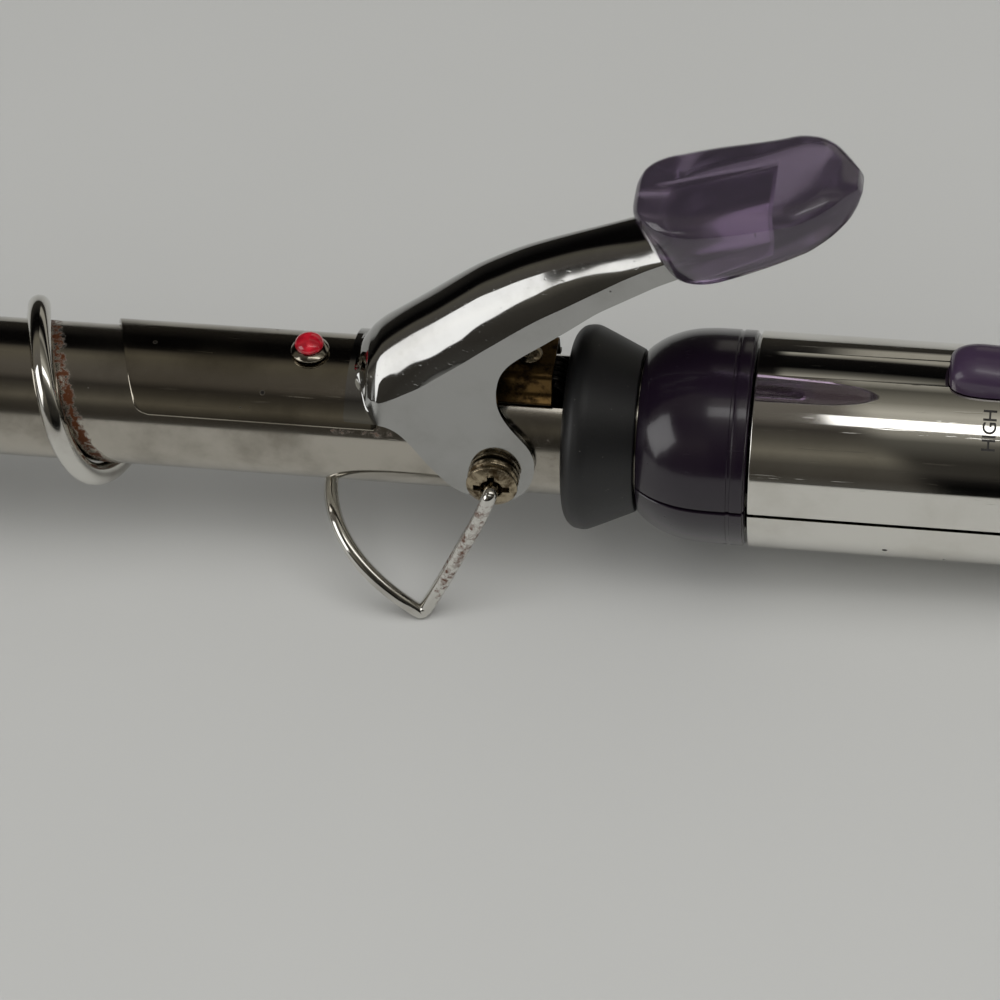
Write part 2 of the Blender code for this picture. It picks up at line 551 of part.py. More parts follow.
def build_switch():
    knob_from, knob_to = SWITCH_X, SWITCH_X + 13.0
    rows, columns = 11, 9
    middle = (knob_from + knob_to) / 2
    verts = []
    for i in range(rows):
        u = math.pi * i / (rows - 1)
        x = middle - (knob_to - knob_from) / 2 * math.copysign(abs(math.cos(u)) ** 0.7, math.cos(u))
        wide = 4.0 * max(math.sin(u), 0.0) ** 0.35 if 0 < i < rows - 1 else 1.6
        tall = 3.7 * max(math.sin(u), 0.0) ** 0.6 if 0 < i < rows - 1 else 0.7
        for j in range(columns):
            v = math.pi * j / (columns - 1)
            y = wide * math.cos(v)
            floor = math.sqrt((SLEEVE_R + 0.25) ** 2 - y * y)
            z = floor + (0.05 if j in (0, columns - 1) else tall * math.sin(v) ** 0.55)
            verts.append((x, y, z))
    top = len(verts)
    for i in range(rows):
        for j in range(columns):
            x, y = verts[i * columns + j][:2]
            verts.append((x, y, math.sqrt((SLEEVE_R + 0.25) ** 2 - y * y) - 0.02))
    faces = []
    for i in range(rows - 1):
        for j in range(columns - 1):
            a = i * columns + j
            quad = [a, a + 1, a + 1 + columns, a + columns]
            faces += [quad, [q + top for q in quad]]
        for j in (0, columns - 1):
            a = i * columns + j
            faces.append([a, a + columns, a + columns + top, a + top])
    for j in range(columns - 1):
        for i in (0, rows - 1):
            a = i * columns + j
            faces.append([a, a + 1, a + 1 + top, a + top])
    knob = node("switch_knob", verts, faces, PURPLE)
    stem = block("knob_stem", (knob_from + 4.2, -1.5, 12.15), (knob_from + 9.4, 1.5, 16), helper=True)
    trimmed(knob, stem, "UNION")
    carriage = block("switch_carriage", (51.8, -3.9, 11.1), (80.6, 3.9, 11.9), BLACK)
    trimmed(carriage, block("carriage_pin", (64.6, -1.3, 8.2), (67.4, 1.3, 11.5), helper=True), "UNION")
    housing = block("switch_housing", (53.0, -6.3, 1.6), (88.0, 6.3, 10.8), BLACK)
    trimmed(housing, block("housing_slot_cutter", (62.0, -1.8, 7.6), (80.2, 1.8, 12), helper=True))
    for i, x in enumerate((58.0, 70.0, 82.0)):
        block(f"switch_terminal_{i + 1}", (x - 1.6, -0.35, -3.4), (x + 1.6, 0.35, 1.35), BRASS)
    diode = [(x, 0, -1.6) for x in (62.4, 63.6, 63.61, 66.4, 66.41, 67.6)]
    swept("low_heat_diode", diode, [0.35, 0.35, 1.3, 1.3, 0.35, 0.35], DARK_STEEL, 10)


def build_wiring():
    turned("lead_bush", [(24.2, 2.6), (24.2, 9.3), (27.5, 9.3), (27.5, 2.6)], CERAMIC, 24)
    fuse = [(x, 5.6, -4.2) for x in (30.6, 33.0, 33.01, 41.0, 41.01, 43.2)]
    swept("thermal_fuse", fuse, [0.4, 0.4, 1.9, 1.9, 0.4, 0.4], ALUMINIUM, 10)
    leads = {
        "heater_lead_live": [(-18.5, 1.4, -2), (4, 1.4, -2.2), (20, 1.3, -1.2), (28, 1.3, -0.6)]
        + [(29, 3.2, -2.2), (29.8, 5.5, -4.1)],
        "heater_lead_neutral": [(-18.5, -1.4, -2), (4, -1.4, -2.2), (20, -1.3, -1.2), (28, -1.3, -0.6)]
        + [(32, -4.5, -3), (40, -8.6, -4.5), (104, -8.6, -4.5), (126, -8.0, -3), (133.0, -6.5, 1.5)]
        + [(135.0, -5.6, 4.4)],
        "switch_lead_in": [(43.9, 5.7, -4.2), (49.5, 5.9, -4.6), (54, 3.4, -5.6), (57.6, 0.5, -5.4)]
        + [(58.0, 0.1, -4.2)],
        "supply_lead": [(82.0, 0.1, -4.2), (82.6, 0.8, -5.8), (88, 4.0, -6.6), (104, 8.4, -6), (124, 8.4, -4)]
        + [(134, 7.6, 2.0), (138.0, 6.6, 4.6)],
    }
    for name, path in leads.items():
        swept(name, smooth_path(path), 0.8, WHITE_SLEEVE, 8)


def smooth_path(path, per=4):
    """A path through these points, rounded at each of them."""
    points = [Vector(p) for p in path]
    ends = [2 * points[0] - points[1], *points, 2 * points[-1] - points[-2]]
    out = []
    for a, b, c, d in zip(ends, ends[1:], ends[2:], ends[3:]):
        for i in range(per):
            t = i / per
            out.append(
                0.5
                * (2 * b + (c - a) * t + (2 * a - 5 * b + 4 * c - d) * t**2 + (3 * b - a - 3 * c + d) * t**3)
            )
    return out + [points[-1]]


def build_swivel():
    turned(
        "swivel_gland",
        [(134.6, 0), (134.6, 3.5), (141.9, 3.5), (141.9, 8.9), (145.2, 8.9), (145.2, 6.5), (148.6, 6.5)]
        + [(148.6, 7.4), (149.4, 8.0), (154.0, 8.0), (162.6, 6.4), (163.6, 6.0), (GLAND_TO, 5.4), (GLAND_TO, 2.8)]
        + [(139.0, 2.8), (139.0, 0)],
        BLACK,
        28,
    )
    for i, x in enumerate((135.4, 138.6)):
        turned(f"slip_ring_{i + 1}", [(x, 3.8), (x + 2.2, 3.8), (x + 2.2, 4.7), (x, 4.7)], BRASS, 24)
    for name, x, side in (("brush_neutral", 136.5, -1), ("brush_live", 139.7, 1)):
        low, high = sorted((side * 1.6, side * 5.2))
        foot = block(name, (x - 0.8, low, 5.3), (x + 0.8, high, 5.9), BRASS)
        post = sorted((side * 4.6, side * 5.2))
        post = block(name + "_post", (x - 0.8, post[0], 5.5), (x + 0.8, post[1], 10.6), helper=True)
        trimmed(foot, post, "UNION")


build_barrel()
build_clip()
build_lever()
build_thumb_rest()
build_pivot_and_stand()
build_spring()
build_collars()
build_switch()
build_wiring()
build_swivel()

# Pitch the iron until the feet and the back of the handle stand at one height, then lift it onto z = 0
foot_x, foot_z = STAND_FOOT[0] - 0.3, STAND_FOOT[1] - 0.05 - STAND_WIRE_R
heel_x, heel_z = CAP_TO - 4.5, -SLEEVE_R
pitch = math.atan2(heel_z - foot_z, heel_x - foot_x)
iron.matrix_world = Matrix.Rotation(pitch, 4, "Y")
bpy.context.view_layer.update()
graph = bpy.context.evaluated_depsgraph_get()
corners = []
for obj in bpy.context.scene.objects:
    if obj.type == "MESH" and not obj.hide_render:
        shown = obj.evaluated_get(graph)
        corners += [shown.matrix_world @ v.co for v in shown.data.vertices]
low = Vector([min(c[i] for c in corners) for i in range(3)])
high = Vector([max(c[i] for c in corners) for i in range(3)])
iron.matrix_world = Matrix.Translation((-(low.x + high.x) / 2, 0, -low.z)) @ Matrix.Rotation(pitch, 4, "Y")
print("pitch", round(math.degrees(pitch), 3), "pivot at", [round(v * 1000, 3) for v in iron.matrix_world.translation])
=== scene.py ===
import json
import math

import bmesh
import bpy
from mathutils import Matrix, Vector


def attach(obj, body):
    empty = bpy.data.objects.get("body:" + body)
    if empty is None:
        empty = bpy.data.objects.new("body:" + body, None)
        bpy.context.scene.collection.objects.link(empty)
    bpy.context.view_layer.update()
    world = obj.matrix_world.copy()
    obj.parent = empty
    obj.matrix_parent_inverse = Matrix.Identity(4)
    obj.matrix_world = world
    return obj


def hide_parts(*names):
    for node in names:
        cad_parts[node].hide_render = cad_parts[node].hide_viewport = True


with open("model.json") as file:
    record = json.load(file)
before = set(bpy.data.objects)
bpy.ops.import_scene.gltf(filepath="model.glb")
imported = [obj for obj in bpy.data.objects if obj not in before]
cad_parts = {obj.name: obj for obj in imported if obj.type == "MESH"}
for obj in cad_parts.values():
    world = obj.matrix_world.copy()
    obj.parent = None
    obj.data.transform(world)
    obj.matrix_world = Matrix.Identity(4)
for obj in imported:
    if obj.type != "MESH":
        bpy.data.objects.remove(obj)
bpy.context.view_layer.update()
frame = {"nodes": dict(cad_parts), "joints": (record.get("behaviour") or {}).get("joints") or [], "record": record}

# The iron's own axes: x towards the handle, y across, z up through the thumb lever, zero at the clamp's pivot
joints = {joint["name"]: joint for joint in frame["joints"]}
pivot = Vector(joints["clamp_hinge"]["pos_m"])
along = Vector(joints["switch_slide"]["axis"]).normalized()
across = Vector((0, 1, 0))
upward = along.cross(across)
ironTurn = Matrix((along, across, upward)).transposed()
ironPlace = Matrix.Translation(pivot) @ ironTurn.to_4x4()
mm = 0.001


# sRGB hex to the linear values that shaders take
def linearColour(code):
    parts = [int(code[i : i + 2], 16) / 255 for i in (1, 3, 5)]
    return (*[p / 12.92 if p <= 0.04045 else ((p + 0.055) / 1.055) ** 2.4 for p in parts], 1.0)


# Each input takes a constant, or a link from another node's output; a node stands for its first output
def feed(tree, node, inputs):
    for key, value in inputs.items():
        if isinstance(value, bpy.types.Node):
            value = value.outputs[0]
        if isinstance(value, bpy.types.NodeSocket):
            tree.links.new(value, node.inputs[key])
        else:
            node.inputs[key].default_value = value


def addNode(tree, kind, inputs=None, **settings):
    made = tree.nodes.new(kind)
    for key, value in settings.items():
        setattr(made, key, value)
    feed(tree, made, inputs or {})
    return made


# A material's tree, its shader, and object coordinates in the iron's own axes
def newMaterial(name):
    material = bpy.data.materials.new(name)
    material.use_nodes = True
    tree = material.node_tree
    shader = tree.nodes["Principled BSDF"]
    place = ironTurn.transposed()
    coords = addNode(tree, "ShaderNodeTexCoord").outputs["Object"]
    turned = addNode(
        tree,
        "ShaderNodeMapping",
        {"Vector": coords, "Location": -(place @ pivot), "Rotation": place.to_euler()},
    )
    return material, tree, shader, turned.outputs["Vector"]


chromeLooks = {
    "sleeveChrome": {
        "bright": "#e6e4de", "dull": "#aea697", "clouds": 0.3, "rough": 0.05, "haze": 0.1, "pits": 0.05
    },
    "leverChrome": {
        "bright": "#adadab", "dull": "#84827c", "clouds": 0.4, "rough": 0.055, "haze": 0.14, "pits": 0.2
    },
    "clipChrome": {
        "bright": "#a9a396", "dull": "#655d4f", "clouds": 0.6, "rough": 0.08, "haze": 0.2, "pits": 0.2
    },
    "barrelChrome": {
        "bright": "#bab5ab", "dull": "#665f52", "clouds": 0.6, "rough": 0.1, "haze": 0.2, "pits": 0.26
    },
    "wireChrome": {
        "bright": "#dad8d2", "dull": "#6a5f50", "clouds": 0.4, "rough": 0.07, "haze": 0.2, "pits": 0.3
    },
}


# Bright chromium plate on steel, aged by heat: mirror-like, with dull clouds, hair scratches and black pits
def platedChrome(name):
    look = chromeLooks[name]
    material, tree, shader, place = newMaterial(name)
    # Dull clouds 10 to 15 mm across
    pattern = {"Vector": place, "Scale": 70.0, "Detail": 6.0, "Roughness": 0.6}
    cloud = addNode(tree, "ShaderNodeTexNoise", pattern)
    spread = {"Value": cloud, "From Min": 0.42, "From Max": 0.72, "To Max": look["clouds"]}
    dull = addNode(tree, "ShaderNodeMapRange", spread, interpolation_type="SMOOTHSTEP")
    # Scorch painted as an attribute, broken up by grains of about 1 mm; on the barrel the attribute also holds a
    # painted shade under the clip's near rim, in the same brown
    stainAndShade = addNode(tree, "ShaderNodeAttribute", attribute_name="stainAndShade").outputs["Fac"]
    pattern = {"Vector": place, "Scale": 900.0, "Detail": 5.0, "Roughness": 0.7}
    grain = addNode(tree, "ShaderNodeTexNoise", pattern)
    sharper = {0: grain, 1: 3.2, 2: -0.95}
    raised = addNode(tree, "ShaderNodeMath", sharper, operation="MULTIPLY_ADD")
    patchy = addNode(tree, "ShaderNodeMath", {0: stainAndShade, 1: raised}, operation="MULTIPLY")
    spread = {"Value": patchy, "From Min": 0.25, "From Max": 0.7}
    scorchAndShade = addNode(tree, "ShaderNodeMapRange", spread, interpolation_type="SMOOTHSTEP")
    # Pits 0.2 to 0.3 mm across, in a cell of 2.6 mm here and there
    cells = addNode(tree, "ShaderNodeTexVoronoi", {"Vector": place, "Scale": 380.0})
    chosen = addNode(tree, "ShaderNodeSeparateColor", {"Color": cells.outputs["Color"]})
    spread = {"Value": chosen, "From Min": 1.0 - look["pits"], "From Max": 1.0, "To Max": 0.17}
    reach = addNode(tree, "ShaderNodeMapRange", spread)
    depths = {0: reach, 1: cells.outputs["Distance"]}
    inside = addNode(tree, "ShaderNodeMath", depths, operation="SUBTRACT")
    spread = {"Value": inside, "From Min": 0.0, "From Max": 0.03}
    pit = addNode(tree, "ShaderNodeMapRange", spread, interpolation_type="SMOOTHSTEP")
    # Hair scratches 5 to 10 mm long, in three directions
    scratch = 0.0
    for turn, seed in ((0.12, 0.0), (0.7, 3.0), (-0.5, 7.0)):
        stretch = {"Vector": place, "Scale": (130, 2600, 2600), "Rotation": (turn, 0, turn)}
        drawn = addNode(tree, "ShaderNodeMapping", stretch)
        pattern = {"Vector": drawn, "W": seed, "Scale": 1.0}
        lines = addNode(tree, "ShaderNodeTexNoise", pattern, noise_dimensions="4D")
        spread = {"Value": lines, "From Min": 0.69, "From Max": 0.76}
        line = addNode(tree, "ShaderNodeMapRange", spread)
        scratch = addNode(tree, "ShaderNodeMath", {0: line, 1: scratch}, operation="MAXIMUM")
    colour = linearColour(look["bright"])
    # The brown tint from the scorch mask also paints the shade under the clip on the barrel
    for share, tint in ((dull, look["dull"]), (scorchAndShade, "#5a3219"), (pit, "#17130f")):
        tints = {0: share, 6: colour, 7: linearColour(tint)}
        colour = addNode(tree, "ShaderNodeMix", tints, data_type="RGBA").outputs[2]
    rough = look["rough"]
    for share, more in ((dull, look["haze"]), (scratch, 0.12), (scorchAndShade, 0.4), (pit, 0.5)):
        sums = {0: share, 1: more, 2: rough}
        rough = addNode(tree, "ShaderNodeMath", sums, operation="MULTIPLY_ADD")
    worn = addNode(tree, "ShaderNodeMath", {0: pit, 1: scorchAndShade}, operation="MAXIMUM")
    metal = addNode(tree, "ShaderNodeMath", {0: worn, 1: -0.55, 2: 1.0}, operation="MULTIPLY_ADD")
    sunk = addNode(tree, "ShaderNodeMath", {0: pit, 1: scratch}, operation="ADD")
    sums = {0: scorchAndShade, 1: 0.5, 2: sunk}
    height = addNode(tree, "ShaderNodeMath", sums, operation="MULTIPLY_ADD")
    relief = {"Height": height, "Strength": 0.1, "Distance": 0.00005}
    bump = addNode(tree, "ShaderNodeBump", relief, invert=True)
    feed(tree, shader, {"Base Color": colour, "Roughness": rough, "Metallic": metal, "Normal": bump})
    return material


# Uncoated or washed metal: brass, nickel wash, blackened or plain steel, with grime in patches of so many mm
def agedMetal(name, bright, grimy, rough, patchSize):
    material, tree, shader, place = newMaterial(name)
    pattern = {"Vector": place, "Scale": 1000.0 / patchSize, "Detail": 6.0, "Roughness": 0.65}
    patches = addNode(tree, "ShaderNodeTexNoise", pattern)
    # Tool marks of about 0.2 mm
    pattern = {"Vector": place, "Scale": 5000.0, "Detail": 3.0}
    fine = addNode(tree, "ShaderNodeTexNoise", pattern)
    spread = {"Value": patches, "From Min": 0.4, "From Max": 0.66}
    grime = addNode(tree, "ShaderNodeMapRange", spread, interpolation_type="SMOOTHSTEP")
    tints = {0: grime, 6: linearColour(bright), 7: linearColour(grimy)}
    colour = addNode(tree, "ShaderNodeMix", tints, data_type="RGBA").outputs[2]
    roughness = addNode(tree, "ShaderNodeMath", {0: grime, 1: 0.3, 2: rough}, operation="MULTIPLY_ADD")
    bump = addNode(tree, "ShaderNodeBump", {"Height": fine, "Strength": 0.25, "Distance": 0.00004})
    feed(tree, shader, {"Base Color": colour, "Roughness": roughness, "Metallic": 1.0, "Normal": bump})
    return material


# Heat-proof phenolic moulding: matte near-black, finely grained, with a few pale scuffs and specks of dust
def mouldedPhenolic(name):
    material, tree, shader, place = newMaterial(name)
    grain = addNode(tree, "ShaderNodeTexNoise", {"Vector": place, "Scale": 3500.0, "Detail": 4.0})
    drawn = addNode(tree, "ShaderNodeMapping", {"Vector": place, "Scale": (420, 160, 160)})
    knocks = addNode(tree, "ShaderNodeTexNoise", {"Vector": drawn, "Scale": 1.0, "Detail": 9.0})
    spread = {"Value": knocks, "From Min": 0.68, "From Max": 0.78, "To Max": 0.3}
    scuff = addNode(tree, "ShaderNodeMapRange", spread, interpolation_type="SMOOTHSTEP")
    specks = addNode(tree, "ShaderNodeTexNoise", {"Vector": place, "Scale": 1800.0, "Detail": 2.0})
    dust = addNode(
        tree, "ShaderNodeMapRange", {"Value": specks, "From Min": 0.72, "From Max": 0.78, "To Max": 0.4}
    )
    colour = linearColour("#0d0d0e")
    for share, tint in ((scuff, "#4c4b4a"), (dust, "#77756f")):
        tints = {0: share, 6: colour, 7: linearColour(tint)}
        colour = addNode(tree, "ShaderNodeMix", tints, data_type="RGBA").outputs[2]
    roughness = addNode(tree, "ShaderNodeMath", {0: scuff, 1: 0.5, 2: 0.46}, operation="MULTIPLY_ADD")
    bump = addNode(tree, "ShaderNodeBump", {"Height": grain, "Strength": 0.3, "Distance": 0.00005})
    feed(tree, shader, {"Base Color": colour, "Roughness": roughness, "Normal": bump, "IOR": 1.55})
    return material


acrylicLooks = {
    "smokyPurpleRest": {
        "tint": "#c4b6ca", "deep": "#b09cba", "clear": 0.94, "rough": 0.14, "density": 62.0,
        "soak": "#5c4168", "coat": 0.5
    },
    "smokyPurpleShell": {
        "tint": "#1f1522", "deep": "#150e18", "clear": 0.15, "rough": 0.2, "density": 300.0,
        "soak": "#3a2542", "coat": 0.4
    },
    "smokyPurpleKnob": {
        "tint": "#55435c", "deep": "#3c2d43", "clear": 0.4, "rough": 0.28, "density": 260.0,
        "soak": "#4a3155", "coat": 0.3
    },
}


# Tinted see-through acrylic moulding: glossy skin, slightly cloudy, with fine rubs that catch the light
def smokyAcrylic(name):
    look = acrylicLooks[name]
    material, tree, shader, place = newMaterial(name)
    cloud = addNode(tree, "ShaderNodeTexNoise", {"Vector": place, "Scale": 90.0, "Detail": 2.0})
    drawn = addNode(tree, "ShaderNodeMapping", {"Vector": place, "Scale": (300, 2400, 1400)})
    rubs = addNode(tree, "ShaderNodeTexNoise", {"Vector": drawn, "Scale": 1.0, "Detail": 3.0})
    tints = {0: cloud, 6: linearColour(look["tint"]), 7: linearColour(look["deep"])}
    colour = addNode(tree, "ShaderNodeMix", tints, data_type="RGBA").outputs[2]
    spread = {
        "Value": rubs, "From Min": 0.62, "From Max": 0.74, "To Min": look["rough"],
        "To Max": look["rough"] + 0.1
    }
    roughness = addNode(tree, "ShaderNodeMapRange", spread)
    bump = addNode(tree, "ShaderNodeBump", {"Height": rubs, "Strength": 0.04, "Distance": 0.00004})
    feed(tree, shader, {"Base Color": colour, "Roughness": roughness, "Normal": bump, "IOR": 1.49})
    feed(
        tree, shader,
        {"Transmission Weight": look["clear"], "Coat Weight": look["coat"], "Coat Roughness": 0.08}
    )
    soak = {"Color": linearColour(look["soak"]), "Density": look["density"]}
    inside = addNode(tree, "ShaderNodeVolumeAbsorption", soak)
    feed(tree, tree.nodes["Material Output"], {"Volume": inside})
    return material


# Inner parts: unglazed ceramic, mica paper, glass braid, and the dot's enamel, each with its own grain
def grainedFinish(name, light, dark, rough, scale, stretch=(1, 1, 1), coat=0.0):
    material, tree, shader, place = newMaterial(name)
    drawn = addNode(tree, "ShaderNodeMapping", {"Vector": place, "Scale": stretch})
    grain = addNode(tree, "ShaderNodeTexNoise", {"Vector": drawn, "Scale": scale, "Detail": 5.0})
    share = addNode(tree, "ShaderNodeMapRange", {"Value": grain, "From Min": 0.35, "From Max": 0.65})
    tints = {0: share, 6: linearColour(light), 7: linearColour(dark)}
    colour = addNode(tree, "ShaderNodeMix", tints, data_type="RGBA").outputs[2]
    bump = addNode(tree, "ShaderNodeBump", {"Height": grain, "Strength": 0.3, "Distance": 0.00003})
    feed(tree, shader, {"Base Color": colour, "Roughness": rough, "Normal": bump, "Coat Weight": coat})
    return material


finishes = {name: platedChrome(name) for name in chromeLooks}
finishes |= {name: smokyAcrylic(name) for name in acrylicLooks}
finishes["blackPhenolic"] = mouldedPhenolic("blackPhenolic")
finishes["pivotNickel"] = agedMetal("pivotNickel", "#a99c84", "#4b3d2a", 0.2, 1.4)
finishes["brownedBrass"] = agedMetal("brownedBrass", "#665030", "#2b2014", 0.3, 1.6)
finishes["springBlack"] = agedMetal("springBlack", "#34312e", "#12100f", 0.3, 0.8)
finishes["plainSteel"] = agedMetal("plainSteel", "#a4a3a0", "#6e6c68", 0.3, 2.0)
finishes["contactBrass"] = agedMetal("contactBrass", "#c8a35a", "#8d6c34", 0.25, 2.0)
finishes["spreaderAluminium"] = agedMetal("spreaderAluminium", "#b9babb", "#8e8f90", 0.35, 3.0)
finishes["redEnamel"] = grainedFinish("redEnamel", "#c01a2c", "#8f0d1d", 0.16, 900, coat=0.8)
finishes["heaterCeramic"] = grainedFinish("heaterCeramic", "#dcd7ca", "#c4bcab", 0.7, 1500)
finishes["micaPaper"] = grainedFinish("micaPaper", "#8f7a52", "#5e4d31", 0.45, 260)
finishes["glassBraid"] = grainedFinish("glassBraid", "#e2ddd0", "#b3ab99", 0.6, 1400, (1, 2.5, 2.5))
finishes["printBlack"] = grainedFinish("printBlack", "#1c1b1a", "#2a2826", 0.5, 1200)
print("finishes made:", len(finishes))

innerFinish = {
    "plainSteel": ["pivot_nut_near", "pivot_nut_far", "handle_screw_1", "handle_screw_2"],
    "contactBrass": [
        "switch_terminal_1", "switch_terminal_2", "switch_terminal_3", "slip_ring_1", "slip_ring_2",
        "brush_neutral", "brush_live"
    ],
    "blackPhenolic": ["switch_carriage", "switch_housing", "low_heat_diode"],
    "spreaderAluminium": ["heat_spreader", "thermal_fuse"],
    "heaterCeramic": ["heater_core", "lead_bush"],
    "micaPaper": ["mica_wrap"],
    "glassBraid": ["heater_lead_live", "heater_lead_neutral", "switch_lead_in", "supply_lead"],
}
for finish, nodeNames in innerFinish.items():
    for nodeName in nodeNames:
        frame["nodes"][nodeName].data.materials.clear()
        frame["nodes"][nodeName].data.materials.append(finishes[finish])
bodyOf = {name: body for body, names in frame["record"]["behaviour"]["bodies"].items() for name in names}


# A curve through a table of (x, value), with no overshoot between its points
def smoothAt(table, x):
    if x <= table[0][0]:
        return table[0][1]
    if x >= table[-1][0]:
        return table[-1][1]
    slopes = [(b[1] - a[1]) / (b[0] - a[0]) for a, b in zip(table, table[1:])]
    i = next(k for k in range(len(slopes)) if x <= table[k + 1][0])

    def bend(k):
        if k == 0 or k == len(slopes):
            return slopes[min(k, len(slopes) - 1)]
        return 0 if slopes[k - 1] * slopes[k] <= 0 else 2 / (1 / slopes[k - 1] + 1 / slopes[k])

    (x0, y0), (x1, y1) = table[i], table[i + 1]
    h = x1 - x0
    t = (x - x0) / h
    start, end = (2 * t**3 - 3 * t**2 + 1) * y0, (3 * t**2 - 2 * t**3) * y1
    return start + end + (t**3 - 2 * t**2 + t) * h * bend(i) + (t**3 - t**2) * h * bend(i + 1)


def smoothPath(points, per):
    points = [Vector(p) for p in points]
    ends = [2 * points[0] - points[1], *points, 2 * points[-1] - points[-2]]
    made = []
    for a, b, c, d in zip(ends, ends[1:], ends[2:], ends[3:]):
        for i in range(per):
            t = i / per
            made.append(
                0.5 * (
                    2 * b + (c - a) * t + (2 * a - 5 * b + 4 * c - d) * t**2 + (3 * b - a - 3 * c + d) * t**3
                )
            )
    return made + [points[-1]]


# An outline of (a, b, radius) with its corners rounded
def filleted(points, closed=True, steps=4):
    made = []
    count = len(points)
    for i, (a, b, radius) in enumerate(points):
        if radius <= 0 or (not closed and i in (0, count - 1)):
            made.append((a, b))
            continue
        here = Vector((a, b))
        back = Vector(points[i - 1][:2]) - here
        on = Vector(points[(i + 1) % count][:2]) - here
        reach = min(radius, 0.45 * back.length, 0.45 * on.length)
        first, last = here + back.normalized() * reach, here + on.normalized() * reach
        for k in range(steps + 1):
            t = k / steps
            spot = first * (1 - t) ** 2 + here * 2 * t * (1 - t) + last * t**2
            made.append((spot.x, spot.y))
    return made


def newThing(name, data):
    thing = bpy.data.objects.new(name, data)
    bpy.context.scene.collection.objects.link(thing)
    return thing


def cleanMesh(name, verts, faces):
    shape = bmesh.new()
    points = [shape.verts.new(v) for v in verts]
    for face in faces:
        shape.faces.new([points[i] for i in face])
    bmesh.ops.recalc_face_normals(shape, faces=shape.faces)
    mesh = bpy.data.meshes.new(name)
    shape.to_mesh(mesh)
    shape.free()
    return newThing(name, mesh)


# Rings of as many points each, joined in turn and closed at both ends
def lofted(name, rings):
    n, last = len(rings[0]), len(rings) - 1
    faces = [list(range(n)), list(range(last * n, last * n + n))]
    for start in range(0, last * n, n):
        for k in range(n):
            j = (k + 1) % n
            faces.append([start + k, start + j, start + n + j, start + n + k])
    return cleanMesh(name, [point for ring in rings for point in ring], faces)


# A Boolean that is applied at once; the cutter goes
def cut(thing, cutter, how="DIFFERENCE"):
    step = thing.modifiers.new("cut", "BOOLEAN")
    step.operation, step.solver, step.object = how, "EXACT", cutter
    return applied(thing, [cutter])


def applied(thing, helpers=()):
    graph = bpy.context.evaluated_depsgraph_get()
    graph.update()
    mesh = bpy.data.meshes.new_from_object(thing.evaluated_get(graph))
    thing.modifiers.clear()
    thing.data = mesh
    for helper in helpers:
        bpy.data.objects.remove(helper)
    return thing


def bevelled(thing, width, segments=2, angle=35):
    step = thing.modifiers.new("edges", "BEVEL")
    step.width, step.segments, step.limit_method = width, segments, "ANGLE"
    step.angle_limit = math.radians(angle)
    step.use_clamp_overlap = True
    return applied(thing)


# Places a finished piece, in metres, and puts it in its CAD node's stead
def settled(thing, nodeNames, finish, sharp=40):
    mesh = thing.data
    mesh.transform(ironPlace @ Matrix.Scale(mm, 4))
    mesh.shade_smooth()
    mesh.set_sharp_from_angle(angle=math.radians(sharp))
    mesh.materials.clear()
    mesh.materials.append(finishes[finish])
    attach(thing, bodyOf[nodeNames[0]])
    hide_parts(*nodeNames)
    return thing


# A profile of (along, radius) turned about an axis; arc is in degrees from the top, towards the near side
def lathed(name, profile, sides=96, arc=None, axis="X", at=(0, 0, 0)):
    if arc:
        angles = [math.radians(arc[0] + (arc[1] - arc[0]) * i / sides) for i in range(sides + 1)]
    else:
        angles = [2 * math.pi * i / sides for i in range(sides)]
    verts, rings = [], []
    for a, r in profile:
        ring = []
        for t in angles if r > 1e-6 else angles[:1]:
            b, c = -r * math.sin(t), r * math.cos(t)
            point = {"X": (a, b, c), "Y": (b, a, c), "Z": (b, c, a)}[axis]
            ring.append(len(verts))
            verts.append([p + q for p, q in zip(point, at)])
        rings.append(ring)
    solid = len(rings[0]) == 1
    faces = []
    for one, two in list(zip(rings, rings[1:])) + ([] if solid else [(rings[-1], rings[0])]):
        steps = max(len(one), len(two))
        for i in range(steps - 1 if arc else steps):
            j = (i + 1) % steps
            corners = [one[i % len(one)], one[j % len(one)], two[j % len(two)], two[i % len(two)]]
            faces.append([v for k, v in enumerate(corners) if v not in corners[:k]])
    if arc:
        faces += [[ring[0] for ring in rings], [ring[-1] for ring in rings]]
    return cleanMesh(name, verts, faces)


def drawnWire(name, path, radius, sides):
    path = [Vector(p) for p in path]
    heading = [(path[min(i + 1, len(path) - 1)] - path[max(i - 1, 0)]).normalized() for i in range(len(path))]
    side = heading[0].orthogonal().normalized()
    turns = [2 * math.pi * k / sides for k in range(sides)]
    rings = []
    for p, ahead in zip(path, heading):
        side = (side - ahead * side.dot(ahead)).normalized()
        other = ahead.cross(side)
        rings.append([p + radius * (math.cos(t) * side + math.sin(t) * other) for t in turns])
    return lofted(name, rings)


def slab(name, low, high):
    verts = [(x, y, z) for x in (low[0], high[0]) for y in (low[1], high[1]) for z in (low[2], high[2])]
    faces = [[0, 1, 3, 2], [4, 6, 7, 5], [0, 4, 5, 1], [2, 3, 7, 6], [0, 2, 6, 4], [1, 5, 7, 3]]
    return cleanMesh(name, verts, faces)


# An outline given a thickness along an axis; its two numbers are on the other two axes, in their order
def prism(name, outline, low, high, axis="Y"):
    place = "XYZ".index(axis)
    return lofted(name, [[(*p[:place], w, *p[place:]) for p in outline] for w in (low, high)])


